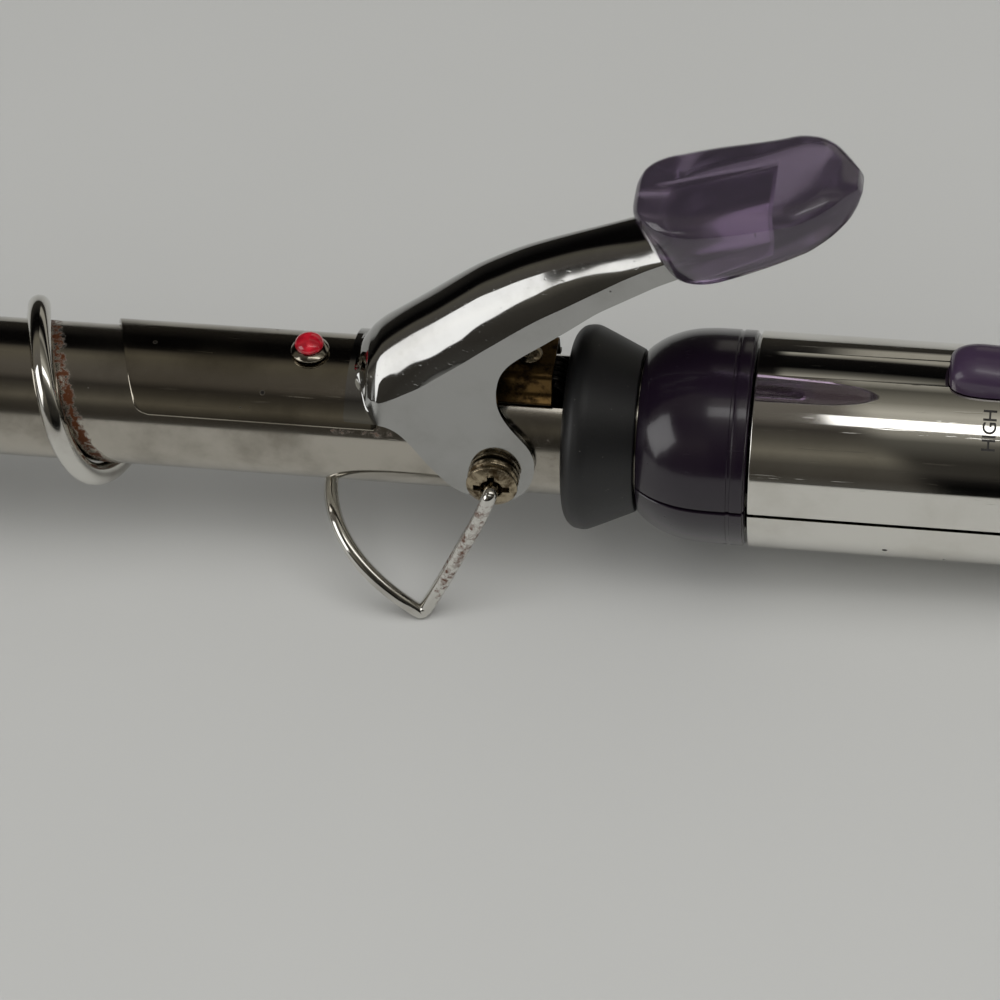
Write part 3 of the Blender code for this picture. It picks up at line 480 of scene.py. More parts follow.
# A sheet from two grids of points of the same size, closed round its edges
def shell(name, outer, inner):
    rows, columns = len(outer), len(outer[0])
    verts = [p for grid in (outer, inner) for row in grid for p in row]

    def at(side, i, j):
        return side * rows * columns + i * columns + j

    faces = []
    for i in range(rows - 1):
        for j in range(columns - 1):
            for side in (0, 1):
                faces.append([at(side, i, j), at(side, i, j + 1), at(side, i + 1, j + 1), at(side, i + 1, j)])
        for j in (0, columns - 1):
            faces.append([at(0, i, j), at(0, i + 1, j), at(1, i + 1, j), at(1, i, j)])
    for j in range(columns - 1):
        for i in (0, rows - 1):
            faces.append([at(0, i, j), at(0, i, j + 1), at(1, i, j + 1), at(1, i, j)])
    return cleanMesh(name, verts, faces)


def woundWireTree():
    tree = bpy.data.node_groups.new("woundWire", "GeometryNodeTree")
    face = tree.interface
    face.new_socket("Geometry", in_out="INPUT", socket_type="NodeSocketGeometry")
    for title in ("coilRadius", "pitch", "startTurn", "endTurn", "wireRadius"):
        face.new_socket(title, in_out="INPUT", socket_type="NodeSocketFloat")
    face.new_socket("stepsAlong", in_out="INPUT", socket_type="NodeSocketInt")
    face.new_socket("finish", in_out="INPUT", socket_type="NodeSocketMaterial")
    face.new_socket("Geometry", in_out="OUTPUT", socket_type="NodeSocketGeometry")
    given = addNode(tree, "NodeGroupInput").outputs
    line = addNode(tree, "GeometryNodeCurvePrimitiveLine").outputs["Curve"]
    fine = addNode(
        tree, "GeometryNodeResampleCurve", {"Curve": line, "Count": given["stepsAlong"]}
    ).outputs["Curve"]
    share = addNode(tree, "GeometryNodeSplineParameter").outputs["Factor"]
    spread = {"Value": share, "To Min": given["startTurn"], "To Max": given["endTurn"]}
    turn = addNode(tree, "ShaderNodeMapRange", spread)
    angle = addNode(tree, "ShaderNodeMath", {0: turn, 1: 2 * math.pi}, operation="MULTIPLY")
    sine = addNode(tree, "ShaderNodeMath", {0: angle}, operation="SINE")
    cosine = addNode(tree, "ShaderNodeMath", {0: angle}, operation="COSINE")
    radius = given["coilRadius"]
    inward = addNode(tree, "ShaderNodeMath", {0: radius, 1: -1.0}, operation="MULTIPLY")
    forward = addNode(tree, "ShaderNodeMath", {0: turn, 1: given["pitch"]}, operation="MULTIPLY")
    sideways = addNode(tree, "ShaderNodeMath", {0: sine, 1: inward}, operation="MULTIPLY")
    upwards = addNode(tree, "ShaderNodeMath", {0: cosine, 1: radius}, operation="MULTIPLY")
    spot = addNode(tree, "ShaderNodeCombineXYZ", {"X": forward, "Y": sideways, "Z": upwards})
    wound = addNode(tree, "GeometryNodeSetPosition", {"Geometry": fine, "Position": spot})
    ring = {"Resolution": 20, "Radius": given["wireRadius"]}
    section = addNode(tree, "GeometryNodeCurvePrimitiveCircle", ring)
    drawn = {"Curve": wound, "Profile Curve": section, "Fill Caps": True}
    tube = addNode(tree, "GeometryNodeCurveToMesh", drawn)
    real = addNode(tree, "GeometryNodeRealizeInstances", {"Geometry": tube})
    dressed = addNode(tree, "GeometryNodeSetMaterial", {"Geometry": real, "Material": given["finish"]})
    addNode(tree, "NodeGroupOutput", {0: dressed})
    return tree


woundWire = woundWireTree()


def woundPiece(name, sizes):
    thing = newThing(name, bpy.data.meshes.new(name))
    step = thing.modifiers.new("winding", "NODES")
    step.node_group = woundWire
    for item in woundWire.interface.items_tree:
        if item.in_out == "INPUT" and item.name in sizes:
            step[item.identifier] = sizes[item.name]
    return applied(thing)


barrel = {"radius": 9.525, "wall": 0.7, "from": -142.0, "to": 22.0, "tipEnd": -164.0}
guide = {"wire": 1.6, "pitch": 19.0, "topX": -63.5, "turnsBack": 3.86, "turnsOn": 206 / 360, "gap": 0.18}


def paintStainAndShade(thing, weight):
    layer = thing.data.attributes.new("stainAndShade", "FLOAT", "POINT")
    layer.data.foreach_set("value", [weight(v.co) for v in thing.data.vertices])


# Scorch on the barrel, in mm and shares: a band on the handle side of the wire and a fainter one on its other
# side, a painted shade in scorch's brown along the clip's near rim, and a haze that comes on from the lever to the
# collar
scorchAndShadeBands = {
    "onside": {"peak": 1.3, "off": 2.2, "spread": 1.0},
    "offside": {"peak": 0.5, "spread": 1.6},
    "wireEnds": -48.0,
    "endShare": 0.03,
    "shadeUnderClip": {"peak": 0.6, "from": -23.0, "to": -13.0, "z": 4.4, "spread": 0.8},
    "haze": {"peak": 0.3, "from": -6.0, "long": 8.0},
}


def barrelStainAndShade(p):
    onside, offside, shadeUnderClip, haze = (scorchAndShadeBands[key] for key in ("onside", "offside", "shadeUnderClip", "haze"))
    turn = math.atan2(-p.y, p.z) / (2 * math.pi)
    phase = (p.x - guide["topX"]) / guide["pitch"] - turn
    lap = round(phase)
    off = (phase - lap) * guide["pitch"]
    if off > 0:
        stainAndShade = onside["peak"] * math.exp(-(((off - onside["off"]) / onside["spread"]) ** 2))
    else:
        stainAndShade = offside["peak"] * math.exp(-((off / offside["spread"]) ** 2))
    past = lap > 1 or (lap == 1 and turn > guide["turnsOn"] - 1 + scorchAndShadeBands["endShare"])
    if past or p.x > scorchAndShadeBands["wireEnds"]:
        stainAndShade = 0
    # Painted shade: a darker brown line on the near side, just under the rim of the clip and the lever's nose
    if shadeUnderClip["from"] < p.x < shadeUnderClip["to"] and p.y < 0:
        stainAndShade += shadeUnderClip["peak"] * math.exp(-(((p.z - shadeUnderClip["z"]) / shadeUnderClip["spread"]) ** 2))
    return min(1.0, stainAndShade + haze["peak"] * max(0, min(1, (p.x - haze["from"]) / haze["long"])))


def makeBarrel():
    r, wall = barrel["radius"], barrel["wall"]
    steps = 164
    run = [barrel["from"] + (barrel["to"] - barrel["from"]) * i / steps for i in range(steps + 1)]
    bore = [(barrel["to"], r - wall), (barrel["from"], r - wall)]
    tube = lathed("barrelTube", [(x, r) for x in run] + bore, 120)
    window = filleted([(1.0, -5.1, 1), (9.9, -5.1, 1), (9.9, 5.1, 1), (1.0, 5.1, 1)])
    cut(tube, prism("window", window, 3, 12, "Z"))
    # Scorch and the painted shade under the clip, kept as an attribute for the chrome
    paintStainAndShade(tube, barrelStainAndShade)
    settled(tube, ["barrel_tube"], "barrelChrome")
    face = barrel["from"] - 0.35
    tip = filleted(
        [
            (barrel["from"] + 8, 0, 0), (barrel["from"] + 8, 8.3, 0.6), (face, 8.3, 0), (face, 9.9, 0.4),
            (barrel["from"] - 3, 10.1, 1.0), (-157.5, 9.5, 2), (-162.0, 9.2, 2.5),
            (barrel["tipEnd"], 7.0, 2.0), (barrel["tipEnd"], 0, 0)
        ],
        closed=False,
    )
    settled(lathed("coolTip", tip), ["cool_tip"], "blackPhenolic")
    wire = woundPiece(
        "spiralGuide",
        {
            "coilRadius": barrel["radius"] + guide["wire"] + guide["gap"],
            "pitch": guide["pitch"],
            "startTurn": -guide["turnsBack"],
            "endTurn": guide["turnsOn"],
            "wireRadius": guide["wire"],
            "stepsAlong": 420,
            "finish": finishes["wireChrome"],
        },
    )
    wire.data.transform(Matrix.Translation((guide["topX"], 0, 0)))
    settled(wire, ["spiral_guide"], "wireChrome", 60)


makeBarrel()
print("barrel, tip and guide wire made")

clip = {"radius": 9.8, "thick": 0.6, "halfDeg": 60.0, "from": -52.0, "to": -16.2, "dotX": -26.1}


def makeClip():
    rows, columns = 61, 60
    grids = []
    for radius in (clip["radius"] + clip["thick"], clip["radius"]):
        grid = []
        for i in range(rows):
            share = -1 + 2 * i / (rows - 1)
            turn = math.radians(clip["halfDeg"]) * share
            lost = 1.7 * (1 - math.sqrt(max(0.0, 1 - (max(0, abs(share) - 0.86) / 0.14) ** 2)))
            x0 = clip["from"] + guide["pitch"] * turn / (2 * math.pi) + lost
            row = []
            for j in range(columns):
                x = x0 + (clip["to"] - x0) * j / (columns - 1)
                row.append((x, -radius * math.sin(turn), radius * math.cos(turn)))
            grid.append(row)
        grids.append(grid)
    spoon = bevelled(shell("clipSpoon", *grids), 0.14, 2, 50)
    settled(spoon, ["clip_spoon"], "clipChrome")
    at = (clip["dotX"], 0, 0)
    flange = filleted(
        [(10.62, 0, 0), (10.62, 2.45, 0.2), (11.0, 2.68, 0.2), (11.55, 2.0, 0.3), (11.6, 0, 0)], False
    )
    settled(lathed("dotRivet", flange, 64, axis="Z", at=at), ["dot_rivet"], "clipChrome")
    bead = [(11.65, 0), (11.65, 1.85), (11.9, 1.98)]
    bead += [
        (12.0 + 1.22 * math.sin(math.radians(a)), 1.98 * math.cos(math.radians(a))) for a in range(5, 90, 8)
    ]
    settled(lathed("heatDot", bead + [(13.23, 0)], 64, axis="Z", at=at), ["heat_dot"], "redEnamel")


makeClip()
print("clip made")

lever = {
    "skirt": 11.3,
    "sheet": 0.75,
    "earY": 10.55,
    "pivotHole": 2.15,
    "end": 36.0,
    "neckFrom": 5.6,
    "neckLong": 2.4,
    "neckSlope": 0.12,
    "crown": [
        (-20.3, 13.0), (-19.1, 13.2), (-18, 14.0), (-16, 16.0), (-10, 21.0), (-3, 26.5), (0, 28.35),
        (3, 30.0), (6, 31.4), (10, 33.1), (14, 34.6), (18, 36.0), (22, 37.6), (27, 39.9), (37, 44.4)
    ],
    "ridgeZ": [
        (-20.3, 10.5), (-19.1, 10.35), (-18.6, 10.0), (-18, 9.75), (-17.2, 9.6), (-16, 9.6), (-14, 10.2),
        (-12, 11.4), (-10, 12.7), (-6, 16.0), (0, 21.0), (6, 25.4), (10, 27.7), (14, 30.15), (18, 32.7),
        (22, 34.9), (37, 42.0)
    ],
    "ridgeY": [
        (-20.3, 4.2), (-18.6, 4.9), (-18, 6.0), (-17.3, 7.0), (-16.4, 7.6), (-15.4, 8), (-4, 8), (0, 7.8),
        (6, 7.1), (10, 6.5), (14, 6.0), (18, 5.7), (22, 5.5), (37, 5.45)
    ],
    "power": [(-12, 2.2), (6, 2.4), (22, 3.2)],
    "risen": [(-19.5, 0), (-19.1, 0.45), (-18.6, 0.8), (-17.6, 1)],
    "foot": [
        (-17, 5.0), (-14, 4.0), (-12, 2.5), (-8, -3), (-5, -6), (5.6, -6), (6.2, 18.5), (10, 21.5),
        (14, 24.2), (18, 26.8), (22, 29.4), (37, 37.0)
    ],
    "earZ": [(-16, 3.4), (-10, 1.5)],
    "hug": [(-16, 11.3), (-13, 10.65)],
}
leverOutline = [
    (-20.3, 60, 0), (-20.3, 6.7, 0.5), (-16, 6.6, 1), (-14.5, 6.4, 1), (-12.9, 5.7, 1), (-11.4, 4.3, 1),
    (-9.4, 1.8, 1), (-7.6, -0.7, 1), (-5.6, -3.1, 1.2), (-3.2, -4.2, 1), (-1.4, -4.8, 1), (0.6, -4.9, 1),
    (2.6, -4.3, 1), (4.1, -2.9, 1), (5.1, -0.8, 1), (5.55, 1.4, 1), (5.5, 3.2, 1), (4.8, 5.0, 1),
    (3.5, 6.6, 1), (2.1, 8.4, 1), (1.1, 10.2, 1), (0.6, 12.0, 1), (0.6, 14.2, 1), (1.1, 16.4, 1),
    (2.2, 18.1, 1), (3.8, 19.5, 1), (5.6, 20.8, 1), (7.7, 22.2, 1), (10, 23.8, 1), (14, 26.9, 1),
    (18, 29.4, 1), (22, 31.9, 1), (35.1, 39.0, 0.5), (36.0, 40.1, 0.5), (36.0, 60, 0)
]


# Half of the lever's section, from its crown out and down, moved in by the sheet's thickness
def leverSection(x, inset):
    half, crown, risen, base, power, foot, earZ, hug = (
        smoothAt(lever[key], x) for key in (
            "ridgeY", "crown", "risen", "ridgeZ", "power", "foot", "earZ", "hug"
        )
    )
    skirt, hug = lever["skirt"] - inset, hug - inset
    points = []
    steps = 26
    for i in range(steps + 1):
        share = math.sin(math.pi / 2 * i / steps)
        ridgeY = (half - inset) * share
        ridgeZ = base + (crown - inset - base) * (1 - share**power)
        turn = math.asin(half / lever["skirt"]) * i / steps
        points.append(
            (
                risen * ridgeY + (1 - risen) * skirt * math.sin(turn),
                risen * ridgeZ + (1 - risen) * skirt * math.cos(turn)
            )
        )
    start = points[-1]
    wide = (lever["earY"] - half) / (base - earZ)
    fade = max(0.0, min(1.0, (x - lever["neckFrom"]) / lever["neckLong"]))
    slope = wide + (lever["neckSlope"] - wide) * fade
    for k in range(1, 29):
        z = start[1] + (foot - start[1]) * k / 28
        y = min(half + slope * (base - z), lever["earY"]) - inset
        if x < 2 and abs(z) < hug:
            y = max(y, min(math.sqrt(hug**2 - z**2), lever["earY"] - inset))
        points.append((y, z))
    return points


def makeLever():
    # Closer together round the tight bend at the front
    stations = [-20.3 + 0.2 * i for i in range(24)] + [-15.5 + 0.5 * i for i in range(105)]
    grids = []
    for inset in (0, lever["sheet"]):
        grid = []
        for x in stations:
            half = leverSection(x, inset)
            grid.append([(x, y, z) for y, z in reversed(half[1:])] + [(x, -y, z) for y, z in half])
        grids.append(grid)
    sheet = shell("thumbLever", *grids)
    cut(sheet, prism("outline", filleted(leverOutline, steps=5), -30, 30), "INTERSECT")
    hole = lever["pivotHole"]
    cut(sheet, lathed("earHole", [(-15, 0), (-15, hole), (15, hole), (15, 0)], 32, axis="Y"))
    settled(sheet, ["thumb_lever"], "leverChrome", 32)


# Along the slope: half the width, the top and the underside
rest = {
    "slopeDeg": 27.0,
    "origin": (21.0, 37.5),
    "power": 4.2,
    "half": [
        (-1, 2.2), (-0.7, 3.5), (0, 5.0), (1, 6.3), (2.5, 7.5), (4.5, 8.3), (7, 8.75), (10, 8.88), (19, 8.8),
        (22, 7.8), (24.5, 5.8), (26, 3.6), (27, 1.9)
    ],
    "high": [
        (-1, 4.3), (-0.1, 5.35), (1, 5.78), (3, 5.4), (5.3, 4.55), (10, 3.35), (17.3, 1.5), (21, 0.9),
        (23.6, 0.22), (25.4, -0.9), (26.3, -2.0), (27, -3.0)
    ],
    "low": [
        (-1, -4.6), (-0.1, -6.2), (1, -6.9), (6, -7.48), (13, -7.3), (21.3, -6.5), (24.8, -6.0), (26, -5.5),
        (27, -4.6)
    ],
    "pocketRoom": 0.3,
    "pocketFoot": [(10, 23.8), (22, 31.9), (36, 39.6), (38, 40.7)],
}


def makeThumbRest():
    slope = math.radians(rest["slopeDeg"])
    ways = ((math.cos(slope), math.sin(slope)), (-math.sin(slope), math.cos(slope)))
    first, last = rest["half"][0][0], rest["half"][-1][0]
    sides, steps = 96, 80
    rings = []
    for i in range(steps + 1):
        s = first + (last - first) * 0.5 * (1 - math.cos(math.pi * i / steps))
        half, low, high = (smoothAt(rest[key], s) for key in ("half", "low", "high"))
        ring = []
        for k in range(sides):
            turn = 2 * math.pi * (k + 0.5) / sides
            c, d = (math.copysign(abs(v) ** (2 / rest["power"]), v) for v in (math.cos(turn), math.sin(turn)))
            t = (low + high) / 2 + (high - low) / 2 * d
            x, z = (start + s * onward + t * outward for start, onward, outward in zip(rest["origin"], *ways))
            ring.append((x, half * c, z))
        rings.append(ring)
    cap = lofted("thumbRest", rings)
    # The pocket that the lever's end goes into, with a little room all round
    room = rest["pocketRoom"]
    pocket = []
    for x in (16.0, 22.0, 27.0, lever["end"] + 2 * room):
        crown = smoothAt(lever["crown"], x) + room
        foot = smoothAt(rest["pocketFoot"], x) - room
        half = smoothAt(lever["ridgeY"], x)
        shape = filleted(
            [
                (half + 0.7, foot, 0.4), (half + 0.35, crown - 2.4, 1.5), (half - 2, crown, 1.5),
                (2 - half, crown, 1.5), (-half - 0.35, crown - 2.4, 1.5), (-half - 0.7, foot, 0.4)
            ]
        )
        pocket.append([(x, y, z) for y, z in shape])
    cut(cap, lofted("pocket", pocket))
    settled(cap, ["thumb_rest"], "smokyPurpleRest")


makeLever()
makeThumbRest()
print("lever and thumb rest made")

pivotSizes = {"earY": 10.55, "washer": 3.5, "head": 3.5, "headFrom": 1.5, "recess": (2.45, 0.5)}
stand = {"wire": 1.02, "halfWide": 16.0, "foot": (-10.4, -22.3), "apex": (-24.4, -10.95), "bowPower": 2.3}


def makePivots():
    ear = pivotSizes["earY"]
    for side, name in ((-1, "near"), (1, "far")):
        wide = pivotSizes["washer"]
        washer = [
            (ear + 0.12, 1.95, 0), (ear + 0.12, wide - 0.05, 0.3), (ear + 0.5, wide, 0.4),
            (ear + 0.95, wide - 0.05, 0.5), (ear + 1.36, wide - 0.6, 0.4), (ear + 1.36, 1.95, 0)
        ]
        ring = [(side * a, r) for a, r in filleted(washer, steps=6)]
        washer = lathed("pivotWasher_" + name, ring, 72, axis="Y")
        settled(washer, ["pivot_washer_" + name], "pivotNickel", 50)
        face, wide = ear + pivotSizes["headFrom"], pivotSizes["head"]
        head = [
            (6.2, 0, 0), (6.2, 1.65, 0.2), (face, 1.65, 0), (face, wide - 0.35, 0.3),
            (face + 0.25, wide - 0.02, 0.4), (face + 0.6, wide - 0.02, 0.5), (face + 0.98, 2.75, 0.7),
            (face + 1.1, 1.5, 0.2), (face - 0.9, 1.5, 0.1), (face - 0.9, 0, 0)
        ]
        ring = [(side * a, r) for a, r in filleted(head, False, 6)]
        screw = lathed("pivotScrew_" + name, ring, 80, axis="Y")
        low, high = sorted((side * (face + 0.35), side * (face + 3)))
        for long, wide in (pivotSizes["recess"][::-1], pivotSizes["recess"]):
            cut(screw, slab("recess", (-long, low, -wide), (long, high, wide)))
        settled(screw, ["pivot_screw_" + name], "pivotNickel", 45)


def makeStand():
    first = pivotSizes["earY"] + pivotSizes["headFrom"] - 0.55
    half = [
        (0, -first, 0), (0, -13.6, 0), (-0.07, -14.15, -0.2), (-0.28, -14.47, -0.75), (-1.1, -14.55, -3.1),
        (-2.3, -14.6, -6.1), (-2.9, -14.65, -7.4), (-6.4, -15.1, -15.2), (-9.2, -15.5, -21.0),
        (-9.75, -15.65, -21.95), (-10.5, -15.8, -22.35)
    ]
    reach = (stand["apex"][0] - stand["foot"][0], stand["apex"][1] - stand["foot"][1])
    steps = 14
    for i in range(1, steps + 1):
        u = math.pi / 2 * i / steps
        y = stand["halfWide"] * math.cos(u) ** (2 / stand["bowPower"]) if i < steps else 0.0
        s = math.sin(u) ** (2 / stand["bowPower"])
        half.append((stand["foot"][0] + reach[0] * s, -y, stand["foot"][1] + reach[1] * s))
    whole = smoothPath(half + [(x, -y, z) for x, y, z in reversed(half[:-1])], 6)
    wire = drawnWire("wireStand", whole, stand["wire"], 20)
    paintStainAndShade(wire, lambda p: 0.6 if p.y < 0 and p.x > -8 and p.z < -1 else 0.25)
    settled(wire, ["wire_stand"], "wireChrome", 60)


makePivots()
makeStand()
print("pivot and stand made")

spring = {"turns": 5.9, "pitch": 0.98, "coil": 1.65, "wire": 0.42, "middle": (6.95, 8.8)}


def makeSpring():
    strap = [
        (-5.3, 8.5, 0.2), (-3.95, 9.25, 0.6), (-3.5, 12.25, 0.9), (3.5, 12.25, 0.9), (3.95, 9.25, 0.6),
        (5.3, 8.5, 0.2), (5.7, 9.15, 0.2), (4.5, 9.85, 0.6), (4.1, 12.95, 1.2), (-4.1, 12.95, 1.2),
        (-4.5, 9.85, 0.6), (-5.7, 9.15, 0.2)
    ]
    bracket = bevelled(prism("springBracket", filleted(strap, steps=5), -1.2, 7.4, "X"), 0.12, 2, 60)
    settled(bracket, ["spring_bracket"], "brownedBrass", 45)
    dome = [
        (13.05, 0, 0), (13.05, 1.7, 0.1), (13.35, 1.75, 0.2), (13.8, 1.35, 0.4), (14.1, 0.5, 0.3),
        (14.12, 0, 0)
    ]
    rivet = lathed("bracketRivet", filleted(dome, False), 48, axis="Z", at=(4.0, -0.4, 0))
    settled(rivet, ["bracket_rivet"], "pivotNickel")
    coil = woundPiece(
        "clampSpring",
        {
            "coilRadius": spring["coil"],
            "pitch": spring["pitch"],
            "startTurn": -spring["turns"] / 2,
            "endTurn": spring["turns"] / 2,
            "wireRadius": spring["wire"],
            "stepsAlong": 300,
            "finish": finishes["springBlack"],
        },
    )
    middle = spring["middle"]
    coil.data.transform(Matrix.Translation((middle[0], 0, middle[1])) @ Matrix.Rotation(math.pi / 2, 4, "Z"))
    settled(coil, ["clamp_spring"], "springBlack", 60)


makeSpring()
print("spring made")

handle = {
    "sleeve": 14.6,
    "wall": 1.6,
    "from": 34.3,
    "to": 131.8,
    "capTo": 148.0,
    "glandTo": 164.0,
    "parting": 0.5,
    "slot": ((62.9, -2.4, 9), (79.6, 2.4, 20)),
    "screwsAt": (45.0, 120.0),
}


def makeHandle():
    guard = [
        (9.0, 9.85, 0), (9.0, 11.3, 0.8), (9.2, 12.3, 0.8), (9.65, 13.1, 0.8), (10.4, 13.75, 0.9),
        (12.0, 14.02, 1.2), (13.7, 13.3, 1.3), (18.3, 11.2, 0.4), (18.7, 11.0, 0.3), (18.7, 9.85, 0)
    ]
    settled(lathed("heatGuard", filleted(guard, steps=5), 120), ["heat_guard"], "blackPhenolic")
    sleeve = handle["sleeve"]
    bore = sleeve - handle["wall"]
    gap = math.degrees(handle["parting"] / 2 / sleeve)
    front = [
        (19.0, 10.95, 0.3), (19.7, 11.65, 0.4), (20.7, 12.4, 0.6), (22.0, 13.15, 0.8), (23.9, 13.9, 1),
        (25.6, 14.3, 1), (28, 14.55, 1), (31.4, 14.58, 0.1), (31.45, 14.42, 0.1), (31.9, 14.42, 0.1),
        (31.95, 14.58, 0.1), (33.6, 14.58, 0.3), (33.65, 14.2, 0), (33.9, 14.2, 0), (33.9, 12.2, 0),
        (24.5, 12.2, 0), (23.5, 9.9, 0), (19.0, 9.9, 0)
    ]
    tube = [
        (handle["from"], sleeve, 0.25), (handle["to"], sleeve, 0.25), (handle["to"], bore, 0),
        (handle["from"], bore, 0)
    ]
    for name, low, high in (("upper", -90 + gap, 90 - gap), ("lower", 90 + gap, 270 - gap)):
        half = bevelled(lathed("frontCollar_" + name, filleted(front), 90, arc=(low, high)), 0.1, 1, 60)
        settled(half, ["front_collar_" + name], "smokyPurpleShell", 30)
        half = lathed("handleSleeve_" + name, filleted(tube), 110, arc=(low, high))
        if name == "upper":
            cut(half, slab("slot", *handle["slot"]))
        else:
            hole = [(-18, 0), (-18, 2.9), (-9, 2.9), (-9, 0)]
            for x in handle["screwsAt"]:
                cut(half, lathed("hole", hole, 40, axis="Z", at=(x, 0, 0)))
        half = bevelled(half, 0.12, 2, 60)
        settled(half, ["handle_" + name], "sleeveChrome", 30)
    start, stop = handle["to"], handle["capTo"]
    rear = [
        (start + 0.4, 14.2, 0), (start + 1.1, 14.2, 0), (start + 1.2, sleeve, 0.2), (stop - 4.5, sleeve, 0.5),
        (stop - 1.3, sleeve - 1.3, 2.4), (stop, sleeve - 4.5, 1.5), (stop, 7.0, 0.3), (stop - 2.4, 7.0, 0),
        (stop - 2.4, 9.4, 0), (stop - 6.4, 9.4, 0), (stop - 6.4, 12.4, 0), (start + 0.4, 12.4, 0)
    ]
    settled(lathed("rearCap", filleted(rear, steps=6)), ["rear_cap"], "smokyPurpleShell", 35)
    gland = [
        (134.6, 0, 0), (134.6, 3.5, 0), (141.9, 3.5, 0), (141.9, 8.9, 0.2), (145.2, 8.9, 0.2),
        (145.2, 6.5, 0), (148.6, 6.5, 0), (148.6, 7.4, 0.2), (149.4, 8.0, 0.4), (152.6, 8.0, 0.4)
    ]
    # Grip rings down the taper
    for i in range(4):
        x, r = 153.4 + 2.4 * i, 7.8 - 0.42 * i
        gland += [(x, r - 0.7, 0.2), (x + 0.7, r - 0.75, 0.2), (x + 0.9, r, 0.2), (x + 1.9, r - 0.1, 0.2)]
    end = handle["glandTo"]
    gland += [(end - 0.6, 6.0, 0.4), (end, 5.4, 0.3), (end, 2.8, 0.3), (139.0, 2.8, 0), (139.0, 0, 0)]
    settled(lathed("swivelGland", filleted(gland, False), 80), ["swivel_gland"], "blackPhenolic", 35)


makeHandle()
print("handle made")

knob = {"from": 59.4, "long": 13.0, "half": 4.0, "tall": 3.7, "dip": 0.1, "dipHalf": 2.4, "lifted": 0.25}
knob |= {"stem": ((63.6, -1.5, 12.15), (68.8, 1.5, 16))}


def makeKnob():
    rows, columns = 61, 41
    middle = knob["from"] + knob["long"] / 2
    top, floor = [], []
    for i in range(rows):
        u = math.pi * i / (rows - 1)
        x = middle - knob["long"] / 2 * math.copysign(abs(math.cos(u)) ** 0.75, math.cos(u))
        swell = max(math.sin(u), 0.02)
        wide, tall = knob["half"] * swell**0.4, knob["tall"] * swell**0.6
        # A shallow dip for the thumb
        tall *= 1 - knob["dip"] * math.exp(-(((x - middle) / knob["dipHalf"]) ** 2))
        topRow, floorRow = [], []
        for j in range(columns):
            v = math.pi * j / (columns - 1)
            y = wide * math.copysign(abs(math.cos(v)) ** 0.85, math.cos(v))
            seat = math.sqrt((handle["sleeve"] + knob["lifted"]) ** 2 - y * y)
            topRow.append((x, y, seat + 0.05 + tall * max(math.sin(v), 0) ** 0.6))
            floorRow.append((x, y, seat - 0.02))
        top.append(topRow)
        floor.append(floorRow)
    pad = shell("switchKnob", top, floor)
    cut(pad, slab("stem", *knob["stem"]), "UNION")
    settled(pad, ["switch_knob"], "smokyPurpleKnob", 40)


# Each word's place along the sleeve and its middle, in degrees from the top towards the near side
words = {"HIGH": (65.2, 32.6), "OFF": (70.2, 31.0), "LOW": (75.2, 32.0)}
lettering = {"size": 2.5, "spacing": 0.92, "fattened": 0.02, "thick": 0.02, "lifted": 0.03}


# The switch's plain setting words, printed round the sleeve beside the knob
def makeWords():
    for text, (x, middleDeg) in words.items():
        curve = bpy.data.curves.new("print" + text, "FONT")
        curve.body, curve.size, curve.space_character = text, lettering["size"], lettering["spacing"]
        curve.offset, curve.extrude = lettering["fattened"], lettering["thick"]
        curve.align_x, curve.align_y = "CENTER", "CENTER"
        written = newThing("print" + text, curve)
        graph = bpy.context.evaluated_depsgraph_get()
        mesh = bpy.data.meshes.new_from_object(written.evaluated_get(graph))
        bpy.data.objects.remove(written)
        radius = handle["sleeve"] + lettering["lifted"]
        for v in mesh.vertices:
            turn = math.radians(middleDeg) - v.co.x / radius
            r = radius + v.co.z
            v.co = (x - v.co.y, -r * math.sin(turn), r * math.cos(turn))
        printed = newThing("print" + text, mesh)
        mesh.transform(ironPlace @ Matrix.Scale(mm, 4))
        mesh.materials.clear()
        mesh.materials.append(finishes["printBlack"])
        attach(printed, "body")


makeKnob()
makeWords()
print("switch made")

# The floor in metres and its colours, the ambient light, and where along x the mirrored room changes
studio = {
    "floorHalf": 3.0,
    "floorDrop": 0.00005,
    "floor": "#bfbfbc",
    "floorMottle": "#bbbbb8",
    "ambient": 0.31,
    "horizon": "#b4b4b1",
    "leftTo": -0.085,
    "rightFrom": -0.055,
}
# Each panel: the way to it from the part and how far, its move along x, its roll, its size and its radiance
panels = {
    "key": {
        "way": (0.0, -0.342, 0.94), "far": 1.15, "moved": 0.62, "rolledDeg": 0, "size": (1.36, 0.2),
        "glow": 1.7, "mirrored": True
    },
    "side": {
        "way": (-0.77, -0.463, 0.438), "far": 1.2, "moved": 0.0, "rolledDeg": -26, "size": (0.66, 0.72),
        "glow": 1.9, "mirrored": True
    },
    "fill": {
        "way": (0.15, -0.35, 0.93), "far": 1.3, "moved": 0.1, "rolledDeg": 0, "size": (1.4, 1.2),
        "glow": 2.25, "mirrored": False
    },
}
# The room as polished metal sees it: degrees from the far horizon over the top to the near one, and a tone
roomLeft = [
    (0, "#2e2c28"), (14, "#262421"), (24, "#1a1918"), (34, "#080707"), (52, "#070606"), (60, "#171615"),
    (66, "#57534b"), (74, "#6b675c"), (97, "#64605a"), (112, "#5c5852"), (122, "#383531"), (134, "#4f4c45"),
    (147, "#6e6a60"), (159, "#494640"), (171, "#3f3c37"), (180, "#4a4844")
]
roomRight = [
    (0, "#32302c"), (10, "#2a2825"), (15, "#9b988f"), (29, "#9a978e"), (34, "#100f0e"), (51, "#050505"),
    (57, "#5a5852"), (63, "#9a978e"), (72, "#4c4a44"), (87, "#7a776e"), (98, "#b4b1a7"), (120, "#8a877f"),
    (127, "#55534d"), (146, "#302e2a"), (158, "#33312d"), (166, "#141312"), (172, "#040404"), (180, "#0b0b0a")
]


